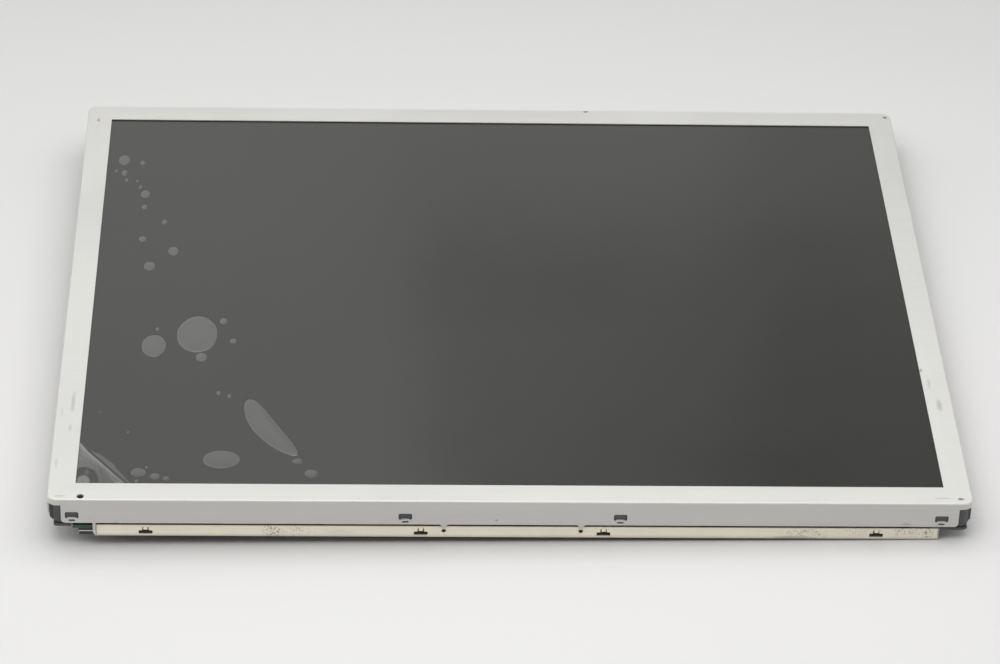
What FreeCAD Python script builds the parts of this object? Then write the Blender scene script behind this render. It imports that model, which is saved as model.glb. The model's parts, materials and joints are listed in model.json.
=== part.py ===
import FreeCAD
import Part
import os
import types
import Sketcher
from FreeCAD import Vector

# A 19 inch flat screen panel for a desktop monitor, lying on its back with the screen upwards.
# Lengths are in millimetres. X runs along the long edge, Y away from the near edge and Z up.
# The lowest face, the back of the control shield, is at Z = 0.

SIZES = {
    # front frame, a pressed steel sheet
    "bezel_width": 404.2,
    "bezel_depth": 330.0,
    "side_flange": 11.95,
    "long_flange": 12.45,
    "bezel_gauge": 0.6,
    "skirt_height": 12.5,
    "corner_radius": 4.5,
    "fold_radius": 0.9,
    "lip_width": 5.0,
    "lip_drop": 0.2,
    "rim_depth": 3.1,
    "corner_cut": 6.1,
    "skirt_round": 1.8,
    "pin_hole_radius": 1.6,
    "pin_hole_end": 14.6,
    "pin_hole_inset": 2.6,
    # latch windows of the skirts, with a bridge and a notch under each
    "latch_width": 5.9,
    "latch_height": 3.5,
    "latch_depth": 6.7,
    "latch_round": 0.5,
    "bridge_height": 0.85,
    "bridge_rise": 0.6,
    "bridge_bulge": 0.3,
    "notch_width": 2.7,
    "notch_height": 1.1,
    "inner_latch_shift": 2.0,
    "inner_latch_offset": 0.55,
    "outer_latch_end": 12.15,
    "outer_latch_offset": 1.35,
    "side_latch_end": 15.0,
    # earthing tongues that hang from the near skirt
    "tongue_x": 30.0,
    "strip_offset": 0.45,
    "tongue_width": 1.7,
    "tongue_length": 2.65,
    "tongue_flare": 1.0,
    "end_tab_width": 1.3,
    "end_tab_length": 7.0,
    "end_tab_taper": 2.0,
    # thickness of the whole panel and of each layer
    "module_thickness": 20.3,
    "shield_standoff": 3.1,
    "gasket_thickness": 0.6,
    "gasket_width": 1.5,
    "film_thickness": 0.1,
    "polariser_thickness": 0.2,
    "glass_thickness": 0.7,
    "glass_margin": 3.0,
    "bond_ledge": 3.4,
    "bond_length": 2.8,
    "ledge_thickness": 1.3,
    "sheet_gap": 0.4,
    "diffuser_thickness": 0.2,
    "prism_thickness": 0.3,
    "light_guide_thickness": 8.0,
    "light_guide_side_gap": 4.9,
    "reflector_thickness": 0.3,
    "rear_gauge": 0.8,
    "rear_corner_radius": 3.0,
    # clearances
    "slip_gap": 0.2,
    "lamp_gap": 0.06,
    "screw_gap": 0.1,
    # dark plastic frame
    "guide_wall": 2.4,
    "guide_rise": 0.2,
    "guide_round": 2.2,
    "guide_chamfer": 0.5,
    "latch_boss": 0.45,
    "pin_socket_radius": 1.3,
    "pin_socket_depth": 3.0,
    "foot_drop": 0.8,
    "corner_step": 3.8,
    "left_step_inset": 2.0,
    "right_step_inset": 1.0,
    "rib_width": 1.2,
    "rib_stand": 0.6,
    "rib_low": 11.7,
    "rib_height": 6.4,
    # driver films
    "driver_film_thickness": 0.15,
    "source_film_width": 28.0,
    "source_film_margin": 13.15,
    "gate_film_width": 28.0,
    "gate_film_margin": 5.55,
    "gate_film_length": 8.0,
    "driver_chip_width": 14.0,
    "driver_chip_height": 2.0,
    "driver_chip_depth": 0.6,
    # lamps at the near and far edges
    "lamp_radius": 1.3,
    "lamp_spread": 3.8,
    "lamp_bay": 4.4,
    "lamp_seat": 5.8,
    "lamp_reflector_grip": 3.0,
    "holder_length": 10.0,
    "holder_end_gap": 1.7,
    "lead_gap_width": 3.6,
    "lead_gap_height": 3.0,
    # side mounts
    "mount_spacing": 150.0,
    "mount_hole_radius": 1.25,
    "mount_height": 14.5,
    "mount_pass_radius": 2.2,
    "rail_thickness": 3.3,
    "rail_height": 6.0,
    "rail_length": 190.0,
    # driver board and its cover along the near edge
    "board_thickness": 1.6,
    "board_boss_height": 1.0,
    "board_boss_radius": 3.0,
    "board_left_end": 10.8,
    "board_right_end": 27.1,
    "board_depth": 34.9,
    "inner_screw_x": 57.5,
    "outer_screw_end": 14.0,
    "insulator_thickness": 0.2,
    "cover_gauge": 0.5,
    "cover_left_end": 21.2,
    "cover_right_end": 13.9,
    "cover_depth": 44.0,
    "cover_flange": 9.0,
    "cover_slot_width": 6.0,
    "cover_slot_height": 2.0,
    "cover_slot_lift": 1.3,
    "cover_lance_width": 2.9,
    "cover_lance_height": 1.85,
    "cover_tab_width": 1.8,
    "cover_tab_height": 1.1,
    "cover_tab_root": 0.4,
    "inner_slot_x": 40.0,
    "outer_slot_end": 42.1,
    "tongue_hole_radius": 1.0,
    "tongue_hole_drop": 1.35,
    "connector_width": 7.4,
    "connector_depth": 12.0,
    "connector_band": 0.5,
    # control board and its shield on the back
    "shield_left": 125.0,
    "shield_right": 15.0,
    "shield_near": 70.0,
    "shield_far": 60.0,
    "shield_gauge": 0.6,
    "shield_flange": 8.0,
    "shield_round": 2.0,
    "control_inset": 7.0,
    "vent_width": 16.0,
    "vent_height": 2.2,
    "vent_pitch": 7.0,
    "chip_height": 1.2,
    "signal_width": 30.0,
    "signal_depth": 10.0,
    "signal_height": 3.6,
    "signal_wall": 1.0,
    "signal_mouth": 5.0,
    "socket_depth": 6.0,
    "socket_height": 1.5,
    "cable_width": 28.0,
    "cable_thickness": 0.3,
    "cable_pitch": 35.0,
    # pressed beads of the rear cover and the screws
    "bead_height": 0.8,
    "bead_width": 9.0,
    "bead_pitch": 40.0,
    "bead_start_y": 58.0,
    "bead_start_x": 18.0,
    "bead_end": 18.0,
    "far_bead_end": 30.0,
    "screw_radius": 1.25,
    "screw_head_radius": 2.6,
    "screw_head_height": 1.5,
}

doc = FreeCAD.newDocument("screen_panel")
sheet = doc.addObject("Spreadsheet::Sheet", "Sizes")
for row, (name, value) in enumerate(SIZES.items(), start=1):
    sheet.set(f"A{row}", name)
    sheet.set(f"B{row}", str(value))
    sheet.setAlias(f"B{row}", name)
doc.recompute()


class Size:
    """A length with its number and the sheet formula that it comes from."""

    def __init__(self, number, text):
        self.number = number
        self.text = text

    def __add__(self, other):
        return Size(self.number + number_of(other), f"({self.text} + {text_of(other)})")

    def __sub__(self, other):
        return Size(self.number - number_of(other), f"({self.text} - {text_of(other)})")

    def __mul__(self, factor):
        return Size(self.number * factor, f"({self.text} * {factor})")

    def __truediv__(self, factor):
        return Size(self.number / factor, f"({self.text} / {factor})")

    def __neg__(self):
        return Size(-self.number, f"(0 - {self.text})")


def number_of(length):
    """Gives the number of a size, or the plain number itself."""
    return length.number if isinstance(length, Size) else length


def text_of(length):
    """Gives the sheet formula of a size, or the plain number as text."""
    return length.text if isinstance(length, Size) else str(length)


def smaller(first, second):
    """Gives the smaller of two sizes."""
    return Size(min(first.number, second.number), f"min({first.text}; {second.text})")


d = types.SimpleNamespace(**{name: Size(value, f"Sizes.{name}") for name, value in SIZES.items()})


# Helpers for sketches and features.

def new_body(name):
    """Starts a body that may hold several separate solids."""
    body = doc.addObject("PartDesign::Body", name)
    body.Label = name
    body.AllowCompound = True
    return body


def sketch(body, plane, offset):
    """Starts a sketch on one of the body's own planes, moved along that plane's normal."""
    plan = body.newObject("Sketcher::SketchObject", f"{body.Name}_sketch")
    support = [feature for feature in body.Origin.OriginFeatures if feature.Role == plane]
    plan.AttachmentSupport = [(support[0], "")]
    plan.MapMode = "FlatFace"
    plan.setExpression("AttachmentOffset.Base.z", text_of(offset))
    return plan


def tie(plan, kind, element, point, length):
    """Binds one coordinate of a sketch point to a size."""
    index = plan.addConstraint(Sketcher.Constraint(kind, -1, 1, element, point, number_of(length)))
    plan.setExpression(f"Constraints[{index}]", text_of(length))


def outline(plan, corners):
    """Draws a closed outline through corners that are bound to sizes."""
    first = plan.GeometryCount
    count = len(corners)
    places = [Vector(number_of(x), number_of(y), 0) for x, y in corners]
    for step in range(count):
        plan.addGeometry(Part.LineSegment(places[step], places[(step + 1) % count]), False)
    for step in range(count):
        following = first + (step + 1) % count
        plan.addConstraint(Sketcher.Constraint("Coincident", first + step, 2, following, 1))
    for step, (x, y) in enumerate(corners):
        tie(plan, "DistanceX", first + step, 1, x)
        tie(plan, "DistanceY", first + step, 1, y)


def rectangle(plan, left, right, low, high):
    """Draws a rectangle between two pairs of sizes."""
    outline(plan, [(left, low), (right, low), (right, high), (left, high)])


def circle(plan, x, y, radius):
    """Draws a circle whose centre and radius are bound to sizes."""
    middle = Vector(number_of(x), number_of(y), 0)
    element = plan.addGeometry(Part.Circle(middle, Vector(0, 0, 1), number_of(radius)), False)
    index = plan.addConstraint(Sketcher.Constraint("Radius", element, number_of(radius)))
    plan.setExpression(f"Constraints[{index}]", text_of(radius))
    tie(plan, "DistanceX", element, 3, x)
    tie(plan, "DistanceY", element, 3, y)


def pad(body, plan, length):
    """Raises a sketch along its normal."""
    feature = body.newObject("PartDesign::Pad", f"{body.Name}_pad")
    feature.Profile = plan
    feature.setExpression("Length", text_of(length))
    doc.recompute()
    return feature


def pocket(body, plan, length):
    """Cuts a sketch into the body, against the sketch's normal."""
    before = body.Shape.Volume
    feature = body.newObject("PartDesign::Pocket", f"{body.Name}_pocket")
    feature.Profile = plan
    feature.setExpression("Length", text_of(length))
    doc.recompute()
    if before - feature.Shape.Volume < 0.001:
        raise ValueError(f"{feature.Label} cuts nothing")
    return feature


def edges(feature, test):
    """Lists the edges of a feature that pass a test."""
    return [f"Edge{place}" for place, edge in enumerate(feature.Shape.Edges, start=1) if test(edge)]


def faces(feature, test):
    """Lists the faces of a feature that pass a test."""
    return [f"Face{place}" for place, face in enumerate(feature.Shape.Faces, start=1) if test(face)]


def runs_along(edge, direction):
    """Tells whether an edge is a straight line along a direction."""
    if edge.Curve.TypeId != "Part::GeomLine":
        return False
    return abs(edge.tangentAt(edge.FirstParameter).dot(direction)) > 0.999


def at(value, length):
    """Tells whether a coordinate lies at a size."""
    return abs(value - number_of(length)) < 0.01


def fillet(body, feature, names, radius):
    """Rounds the named edges of a feature."""
    rounded = body.newObject("PartDesign::Fillet", f"{body.Name}_fillet")
    rounded.Base = (feature, names)
    rounded.setExpression("Radius", text_of(radius))
    doc.recompute()
    return rounded


def shell(body, feature, names, gauge):
    """Leaves a sheet of one gauge inside a block, open at the named faces."""
    hollow = body.newObject("PartDesign::Thickness", f"{body.Name}_sheet")
    hollow.Base = (feature, names)
    hollow.setExpression("Value", text_of(gauge))
    hollow.Reversed = True
    doc.recompute()
    return hollow


def plate(name, left, right, near, far, low, high):
    """Makes a flat plate between three pairs of sizes."""
    box = doc.addObject("Part::Box", name)
    box.Label = name
    box.setExpression("Length", text_of(right - left))
    box.setExpression("Width", text_of(far - near))
    box.setExpression("Height", text_of(high - low))
    box.setExpression("Placement.Base.x", text_of(left))
    box.setExpression("Placement.Base.y", text_of(near))
    box.setExpression("Placement.Base.z", text_of(low))
    return box


X_WAY = Vector(1, 0, 0)
Y_WAY = Vector(0, 1, 0)
Z_WAY = Vector(0, 0, 1)

# Heights of the layers, from the top of the bezel down to the back of the rear cover.

top = d.module_thickness + d.shield_standoff
bezel_under = top - d.bezel_gauge
skirt_bottom = top - d.skirt_height
glass_top = bezel_under - d.gasket_thickness
tft_top = glass_top - d.glass_thickness
tft_under = tft_top - d.glass_thickness
ledge_under = tft_under - d.ledge_thickness
upper_diffuser_top = ledge_under - d.sheet_gap
prism_top = upper_diffuser_top - d.diffuser_thickness
lower_diffuser_top = prism_top - d.prism_thickness
light_guide_top = lower_diffuser_top - d.diffuser_thickness
light_guide_under = light_guide_top - d.light_guide_thickness
rear_inside = light_guide_under - d.reflector_thickness
rear_plane = rear_inside - d.rear_gauge
guide_bottom = rear_plane + d.guide_rise
board_top = rear_plane - d.board_boss_height
board_under = board_top - d.board_thickness
cover_back = d.shield_standoff

# Half widths and half depths of the walls, from the skirts inwards.

half_x = d.bezel_width / 2
half_y = d.bezel_depth / 2
skirt_inside_y = half_y - d.bezel_gauge
guide_x = half_x - d.bezel_gauge - d.slip_gap
guide_y = skirt_inside_y - d.slip_gap
guide_inside_x = guide_x - d.guide_wall
guide_inside_y = guide_y - d.guide_wall
rear_x = guide_inside_x - d.slip_gap
rear_y = guide_inside_y - d.slip_gap
rear_inside_x = rear_x - d.rear_gauge
rear_inside_y = rear_y - d.rear_gauge
rear_bend = d.rear_gauge * 1.5
lamp_back_y = rear_inside_y - d.rear_gauge / 2 - d.slip_gap
trough_y = lamp_back_y - d.reflector_thickness
light_x = rear_inside_x - d.light_guide_side_gap
light_y = trough_y - d.lamp_bay
window_x = half_x - d.side_flange
window_y = half_y - d.long_flange
glass_x = window_x + d.glass_margin
glass_y = window_y + d.glass_margin
sheet_x = light_x - d.slip_gap * 4
sheet_y = light_y - d.lamp_reflector_grip - d.slip_gap
board_left = half_x - d.board_left_end
board_right = half_x - d.board_right_end
cover_left = half_x - d.cover_left_end
cover_right = half_x - d.cover_right_end

# Middles of the driver films, spread evenly over the edges of the glass.

SOURCE_FILMS = 8
GATE_FILMS = 4
source_pitch = (glass_x - d.source_film_margin) * 2 / SOURCE_FILMS
gate_pitch = (glass_y - d.gate_film_margin) * 2 / GATE_FILMS
source_places = [source_pitch * (step - (SOURCE_FILMS - 1) / 2) for step in range(SOURCE_FILMS)]
gate_places = [gate_pitch * (step - (GATE_FILMS - 1) / 2) for step in range(GATE_FILMS)]

# Front bezel: one sheet with folded skirts, open corners, latch windows and earthing tongues.

bezel = new_body("front_bezel")
plan = sketch(bezel, "XY_Plane", skirt_bottom)
rectangle(plan, -half_x, half_x, -half_y, half_y)
block = pad(bezel, plan, d.skirt_height)
uprights = edges(block, lambda edge: runs_along(edge, Z_WAY))
rounded = fillet(bezel, block, uprights, d.corner_radius)
rim = edges(rounded, lambda edge: at(edge.BoundBox.ZMin, top))
folded = fillet(bezel, rounded, rim, d.fold_radius)
underside = faces(folded, lambda face: at(face.BoundBox.ZMax, skirt_bottom))
shell(bezel, folded, underside, d.bezel_gauge)

plan = sketch(bezel, "XY_Plane", top)
rectangle(plan, -window_x, window_x, -window_y, window_y)
opened = pocket(bezel, plan, d.bezel_gauge * 2)


def on_window(edge):
    """Tells whether an edge is on the upper edge of the bezel's window."""
    middle = edge.CenterOfMass
    inside = abs(middle.x) < window_x.number + 0.1 and abs(middle.y) < window_y.number + 0.1
    return inside and at(edge.BoundBox.ZMin, top)


lip = bezel.newObject("PartDesign::Chamfer", "bezel_lip")
lip.Base = (opened, edges(opened, on_window))
lip.ChamferType = 1
lip.setExpression("Size", d.lip_width.text)
lip.setExpression("Size2", d.lip_drop.text)
doc.recompute()

plan = sketch(bezel, "XY_Plane", top - d.rim_depth)
cut_x = half_x - d.corner_cut
cut_y = half_y - d.corner_cut
beyond_x = half_x + d.bezel_gauge
beyond_y = half_y + d.bezel_gauge
rectangle(plan, cut_x, beyond_x, cut_y, beyond_y)
rectangle(plan, -beyond_x, -cut_x, cut_y, beyond_y)
rectangle(plan, cut_x, beyond_x, -beyond_y, -cut_y)
rectangle(plan, -beyond_x, -cut_x, -beyond_y, -cut_y)
relieved = pocket(bezel, plan, d.skirt_height - d.rim_depth)


def on_skirt_end(edge):
    """Tells whether an edge is the lower end corner of a skirt."""
    middle = edge.CenterOfMass
    if not at(edge.BoundBox.ZMax, skirt_bottom):
        return False
    long_skirt = runs_along(edge, Y_WAY) and at(abs(middle.x), cut_x)
    short_skirt = runs_along(edge, X_WAY) and at(abs(middle.y), cut_y)
    return long_skirt or short_skirt


fillet(bezel, relieved, edges(relieved, on_skirt_end), d.skirt_round)

latch_top = top - d.latch_depth
latch_low = latch_top - d.latch_height
bridge_top = latch_low + d.bridge_rise
bridge_low = bridge_top - d.bridge_height
notch_low = bridge_low - d.notch_height
outer_latch = half_x - d.outer_latch_end
inner_latch = source_pitch + d.inner_latch_shift
latch_places = [
    -(outer_latch + d.outer_latch_offset), d.inner_latch_offset - inner_latch,
    inner_latch + d.inner_latch_offset, outer_latch - d.outer_latch_offset,
]
half_latch = d.latch_width / 2
crest = d.notch_width / 2
foot = crest + d.bridge_bulge * 2
plan = sketch(bezel, "XZ_Plane", beyond_y)
for place in latch_places:
    flat = half_latch - d.latch_round
    corners = [
        (place - flat, latch_low), (place - foot, latch_low), (place - crest, bridge_top),
        (place + crest, bridge_top), (place + foot, latch_low), (place + flat, latch_low),
        (place + half_latch, latch_low + d.latch_round), (place + half_latch, latch_top - d.latch_round),
        (place + flat, latch_top), (place - flat, latch_top),
        (place - half_latch, latch_top - d.latch_round), (place - half_latch, latch_low + d.latch_round),
    ]
    outline(plan, corners)
    rectangle(plan, place - crest, place + crest, notch_low, bridge_low)
pocket(bezel, plan, beyond_y * 2)

side_latch = half_y - d.side_latch_end
side_places = [-side_latch, side_latch * 0, side_latch]
mount_places = [-(d.mount_spacing / 2), d.mount_spacing / 2]
plan = sketch(bezel, "YZ_Plane", beyond_x)
for place in side_places:
    rectangle(plan, place - half_latch, place + half_latch, latch_low, latch_top)
for place in mount_places:
    circle(plan, place, d.mount_height, d.mount_pass_radius)
pocket(bezel, plan, beyond_x * 2)

# The bridge at the foot of each latch window stands a little proud of the skirt.

plan = sketch(bezel, "XY_Plane", bridge_low)
root_y = half_y - d.bezel_gauge / 2
crest_y = half_y + d.bridge_bulge
for place in latch_places:
    for root, peak in ((-root_y, -crest_y), (root_y, crest_y)):
        corners = [(place - foot, root), (place + foot, root), (place + crest, peak), (place - crest, peak)]
        outline(plan, corners)
pad(bezel, plan, d.bridge_height)

plan = sketch(bezel, "XZ_Plane", skirt_inside_y)
tongue_tip = skirt_bottom - d.tongue_length
tongue_neck = skirt_bottom - d.tongue_flare
tongue_root = skirt_bottom + d.bezel_gauge
tongue_places = [d.strip_offset - d.tongue_x, d.tongue_x + d.strip_offset]
for place in tongue_places:
    narrow = d.tongue_width / 2
    wide = narrow + d.tongue_flare
    corners = [
        (place - narrow, tongue_tip), (place + narrow, tongue_tip), (place + narrow, tongue_neck),
        (place + wide, skirt_bottom), (place + wide, tongue_root), (place - wide, tongue_root),
        (place - wide, skirt_bottom), (place - narrow, tongue_neck),
    ]
    outline(plan, corners)
tab_right = -(cover_left + d.slip_gap)
tab_left = tab_right - d.end_tab_width
tab_tip = skirt_bottom - d.end_tab_length
corners = [
    (tab_left, tongue_root), (tab_left, tab_tip + d.end_tab_taper), (tab_right - d.slip_gap, tab_tip),
    (tab_right, tab_tip), (tab_right, tongue_root),
]
outline(plan, corners)
pad(bezel, plan, d.bezel_gauge)

plan = sketch(bezel, "XY_Plane", top)
pin_x = d.pin_hole_end - half_x
pin_y = d.pin_hole_inset - half_y
circle(plan, pin_x, pin_y, d.pin_hole_radius)
pocket(bezel, plan, d.bezel_gauge * 2)

# Screen layers: gasket, protective film, polarisers and the two sheets of glass.

gasket = new_body("glass_gasket")
plan = sketch(gasket, "XY_Plane", glass_top)
rectangle(plan, -glass_x, glass_x, -glass_y, glass_y)
gasket_x = glass_x - d.gasket_width
gasket_y = glass_y - d.gasket_width
rectangle(plan, -gasket_x, gasket_x, -gasket_y, gasket_y)
pad(gasket, plan, d.gasket_thickness)

polariser_x = gasket_x - d.slip_gap
polariser_y = gasket_y - d.slip_gap
polariser_top = glass_top + d.polariser_thickness
film_top = polariser_top + d.film_thickness
rear_polariser_x = window_x
rear_polariser_y = window_y
tft_left = -(glass_x + d.bond_ledge)
tft_near = -(glass_y + d.bond_ledge)
rear_polariser_low = tft_under - d.polariser_thickness
plate(
    "front_polariser", -polariser_x, polariser_x, -polariser_y, polariser_y,
    glass_top, polariser_top,
)
plate(
    "protective_film", -polariser_x, polariser_x, -polariser_y, polariser_y,
    polariser_top, film_top,
)
plate("colour_filter_glass", -glass_x, glass_x, -glass_y, glass_y, tft_top, glass_top)
plate("tft_glass", tft_left, glass_x, tft_near, glass_y, tft_under, tft_top)
plate(
    "rear_polariser", -rear_polariser_x, rear_polariser_x, -rear_polariser_y, rear_polariser_y,
    rear_polariser_low, tft_under,
)

# Panel guide: the dark plastic frame with a ledge for the glass and slots for the driver films.

guide = new_body("panel_guide")
plan = sketch(guide, "XY_Plane", guide_bottom)
rectangle(plan, -guide_x, guide_x, -guide_y, guide_y)
block = pad(guide, plan, bezel_under - guide_bottom)
uprights = edges(block, lambda edge: runs_along(edge, Z_WAY))
rounded = fillet(guide, block, uprights, d.corner_radius)


def on_guide_side(edge):
    """Tells whether an edge is the lower outer edge of a short side."""
    return at(edge.BoundBox.ZMax, guide_bottom) and runs_along(edge, Y_WAY)


rounded = fillet(guide, rounded, edges(rounded, on_guide_side), smaller(d.guide_round, d.guide_wall * 0.9))
bevel = guide.newObject("PartDesign::Chamfer", "guide_bevel")
bevel.Base = (rounded, edges(rounded, lambda edge: at(edge.BoundBox.ZMin, bezel_under)))
bevel.setExpression("Size", d.guide_chamfer.text)
doc.recompute()

plan = sketch(guide, "XY_Plane", bezel_under)
nest = d.slip_gap * 2
rectangle(plan, tft_left - nest, glass_x + nest, tft_near - nest, glass_y + nest)
pocket(guide, plan, bezel_under - tft_under)
plan = sketch(guide, "XY_Plane", bezel_under)
ledge_x = rear_polariser_x + d.slip_gap * 2
ledge_y = rear_polariser_y + d.slip_gap * 2
rectangle(plan, -ledge_x, ledge_x, -ledge_y, ledge_y)
pocket(guide, plan, bezel_under - guide_bottom)
plan = sketch(guide, "XY_Plane", ledge_under)
rectangle(plan, -guide_inside_x, guide_inside_x, -guide_inside_y, guide_inside_y)
pocket(guide, plan, ledge_under - guide_bottom)

# Feet carry the guide below the skirt at both near corners, which are stepped back under the rim.

foot_low = guide_bottom - d.foot_drop
foot_root = guide_bottom + d.guide_chamfer
plan = sketch(guide, "XZ_Plane", guide_inside_y)
for side, inner in ((-1, board_left + d.slip_gap * 2), (1, cover_right + d.slip_gap)):
    corners = [
        (inner * side, foot_root), (inner * side, foot_low),
        ((guide_x - d.guide_round * 1.5) * side, foot_low),
        ((guide_x - d.guide_round) * side, foot_low + d.foot_drop * 0.35),
        ((guide_x - d.guide_round * 0.6) * side, guide_bottom),
        ((guide_x - d.guide_round * 0.4) * side, foot_root),
    ]
    outline(plan, corners)
pad(guide, plan, d.guide_wall)
rim_low = top - d.rim_depth
step_y = guide_y - d.corner_step
plan = sketch(guide, "XY_Plane", rim_low)
rectangle(plan, -beyond_x, d.left_step_inset - guide_x, -beyond_y, -step_y)
rectangle(plan, guide_x - d.right_step_inset, beyond_x, -beyond_y, -step_y)
pocket(guide, plan, rim_low - foot_low)
plan = sketch(guide, "XY_Plane", d.rib_low)
rectangle(plan, guide_x - d.right_step_inset, guide_x + d.rib_stand, -step_y, d.rib_width - step_y)
pad(guide, plan, d.rib_height)
plan = sketch(guide, "XY_Plane", bezel_under)
circle(plan, pin_x, pin_y, d.pin_socket_radius)
pocket(guide, plan, d.pin_socket_depth)

cover_inside_y = guide_y - d.cover_gauge
film_y = cover_inside_y - d.slip_gap
film_back_y = film_y - d.driver_film_thickness
chip_back_y = film_back_y - d.driver_chip_depth
film_x = guide_x - d.cover_gauge - d.slip_gap
film_back_x = film_x - d.driver_film_thickness
chip_back_x = film_back_x - d.driver_chip_depth
film_floor = tft_top - d.slip_gap
gate_end = film_floor - d.gate_film_length

# Shallow slots let the films pass over the rim, and deep ones down the outside of the walls.

half_source = d.source_film_width / 2 + d.slip_gap * 3
half_gate = d.gate_film_width / 2 + d.slip_gap * 3
plan = sketch(guide, "XY_Plane", bezel_under)
for place in source_places:
    rectangle(plan, place - half_source, place + half_source, -beyond_y, tft_near)
pocket(guide, plan, bezel_under - film_floor)
plan = sketch(guide, "XY_Plane", film_floor)
for place in source_places:
    rectangle(plan, place - half_source, place + half_source, -beyond_y, -(chip_back_y - d.slip_gap))
pocket(guide, plan, film_floor - guide_bottom)
plan = sketch(guide, "XY_Plane", bezel_under)
for place in gate_places:
    rectangle(plan, -beyond_x, tft_left, place - half_gate, place + half_gate)
pocket(guide, plan, bezel_under - film_floor)
plan = sketch(guide, "XY_Plane", film_floor)
for place in gate_places:
    rectangle(plan, -beyond_x, -(chip_back_x - d.slip_gap), place - half_gate, place + half_gate)
pocket(guide, plan, d.gate_film_length + d.slip_gap * 2)

# Bosses of the guide fill the latch windows, and screws reach the side mounts through round holes.

plan = sketch(guide, "YZ_Plane", beyond_x)
for place in mount_places:
    circle(plan, place, d.mount_height, d.mount_pass_radius)
pocket(guide, plan, beyond_x * 2)
boss_low = bridge_top + d.slip_gap
boss_top = latch_top - d.slip_gap
boss_half = half_latch - d.latch_round
boss_root_y = guide_y - d.latch_boss
boss_root_x = guide_x - d.latch_boss
plan = sketch(guide, "XY_Plane", boss_low)
for place in latch_places:
    rectangle(plan, place - boss_half, place + boss_half, -(guide_y + d.latch_boss), -boss_root_y)
    rectangle(plan, place - boss_half, place + boss_half, boss_root_y, guide_y + d.latch_boss)
for place in side_places:
    rectangle(plan, -(guide_x + d.latch_boss), -boss_root_x, place - boss_half, place + boss_half)
    rectangle(plan, boss_root_x, guide_x + d.latch_boss, place - boss_half, place + boss_half)
pad(guide, plan, boss_top - boss_low)

# Driver films, bent from the glass ledge round the guide, each with its chip.

film_top_z = tft_top + d.driver_film_thickness
bend = d.driver_film_thickness * 1.4
inner_bend = d.driver_film_thickness * 0.8
board_face = board_top + d.driver_film_thickness
bond_y = -(glass_y + d.bond_ledge - d.bond_length)
board_bond_y = -(film_back_y - d.bond_length)
for step, place in enumerate(source_places, start=1):
    body = new_body(f"source_driver_film_{step}")
    plan = sketch(body, "YZ_Plane", place - d.source_film_width / 2)
    corners = [
        (bond_y, film_top_z), (bend - film_y, film_top_z), (-film_y, film_top_z - bend),
        (-film_y, board_top + bend), (bend - film_y, board_top), (board_bond_y, board_top),
        (board_bond_y, board_face), (inner_bend - film_back_y, board_face),
        (-film_back_y, board_face + inner_bend), (-film_back_y, tft_top - inner_bend),
        (inner_bend - film_back_y, tft_top), (bond_y, tft_top),
    ]
    outline(plan, corners)
    pad(body, plan, d.source_film_width)

bond_x = -(glass_x + d.bond_ledge - d.bond_length)
for step, place in enumerate(gate_places, start=1):
    body = new_body(f"gate_driver_film_{step}")
    plan = sketch(body, "XZ_Plane", -(place + d.gate_film_width / 2))
    corners = [
        (bond_x, film_top_z), (bend - film_x, film_top_z), (-film_x, film_top_z - bend),
        (-film_x, gate_end), (-film_back_x, gate_end), (-film_back_x, tft_top - inner_bend),
        (inner_bend - film_back_x, tft_top), (bond_x, tft_top),
    ]
    outline(plan, corners)
    pad(body, plan, d.gate_film_width)

chip_low = d.mount_height
source_chips = new_body("source_driver_chips")
plan = sketch(source_chips, "XY_Plane", chip_low)
half_chip = d.driver_chip_width / 2
for place in source_places:
    rectangle(plan, place - half_chip, place + half_chip, -film_back_y, -chip_back_y)
pad(source_chips, plan, d.driver_chip_height)
gate_chips = new_body("gate_driver_chips")
plan = sketch(gate_chips, "XY_Plane", chip_low)
for place in gate_places:
    rectangle(plan, -film_back_x, -chip_back_x, place - half_chip, place + half_chip)
pad(gate_chips, plan, d.driver_chip_height)

# Back light: loose sheets, the thick light guide, the reflector and the lamps.

plate("upper_diffuser", -sheet_x, sheet_x, -sheet_y, sheet_y, prism_top, upper_diffuser_top)
plate("prism_sheet", -sheet_x, sheet_x, -sheet_y, sheet_y, lower_diffuser_top, prism_top)
plate("lower_diffuser", -sheet_x, sheet_x, -sheet_y, sheet_y, light_guide_top, lower_diffuser_top)
plate("light_guide", -light_x, light_x, -light_y, light_y, light_guide_under, light_guide_top)
plate("reflector_sheet", -sheet_x, sheet_x, -sheet_y, sheet_y, rear_inside, light_guide_under)

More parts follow.
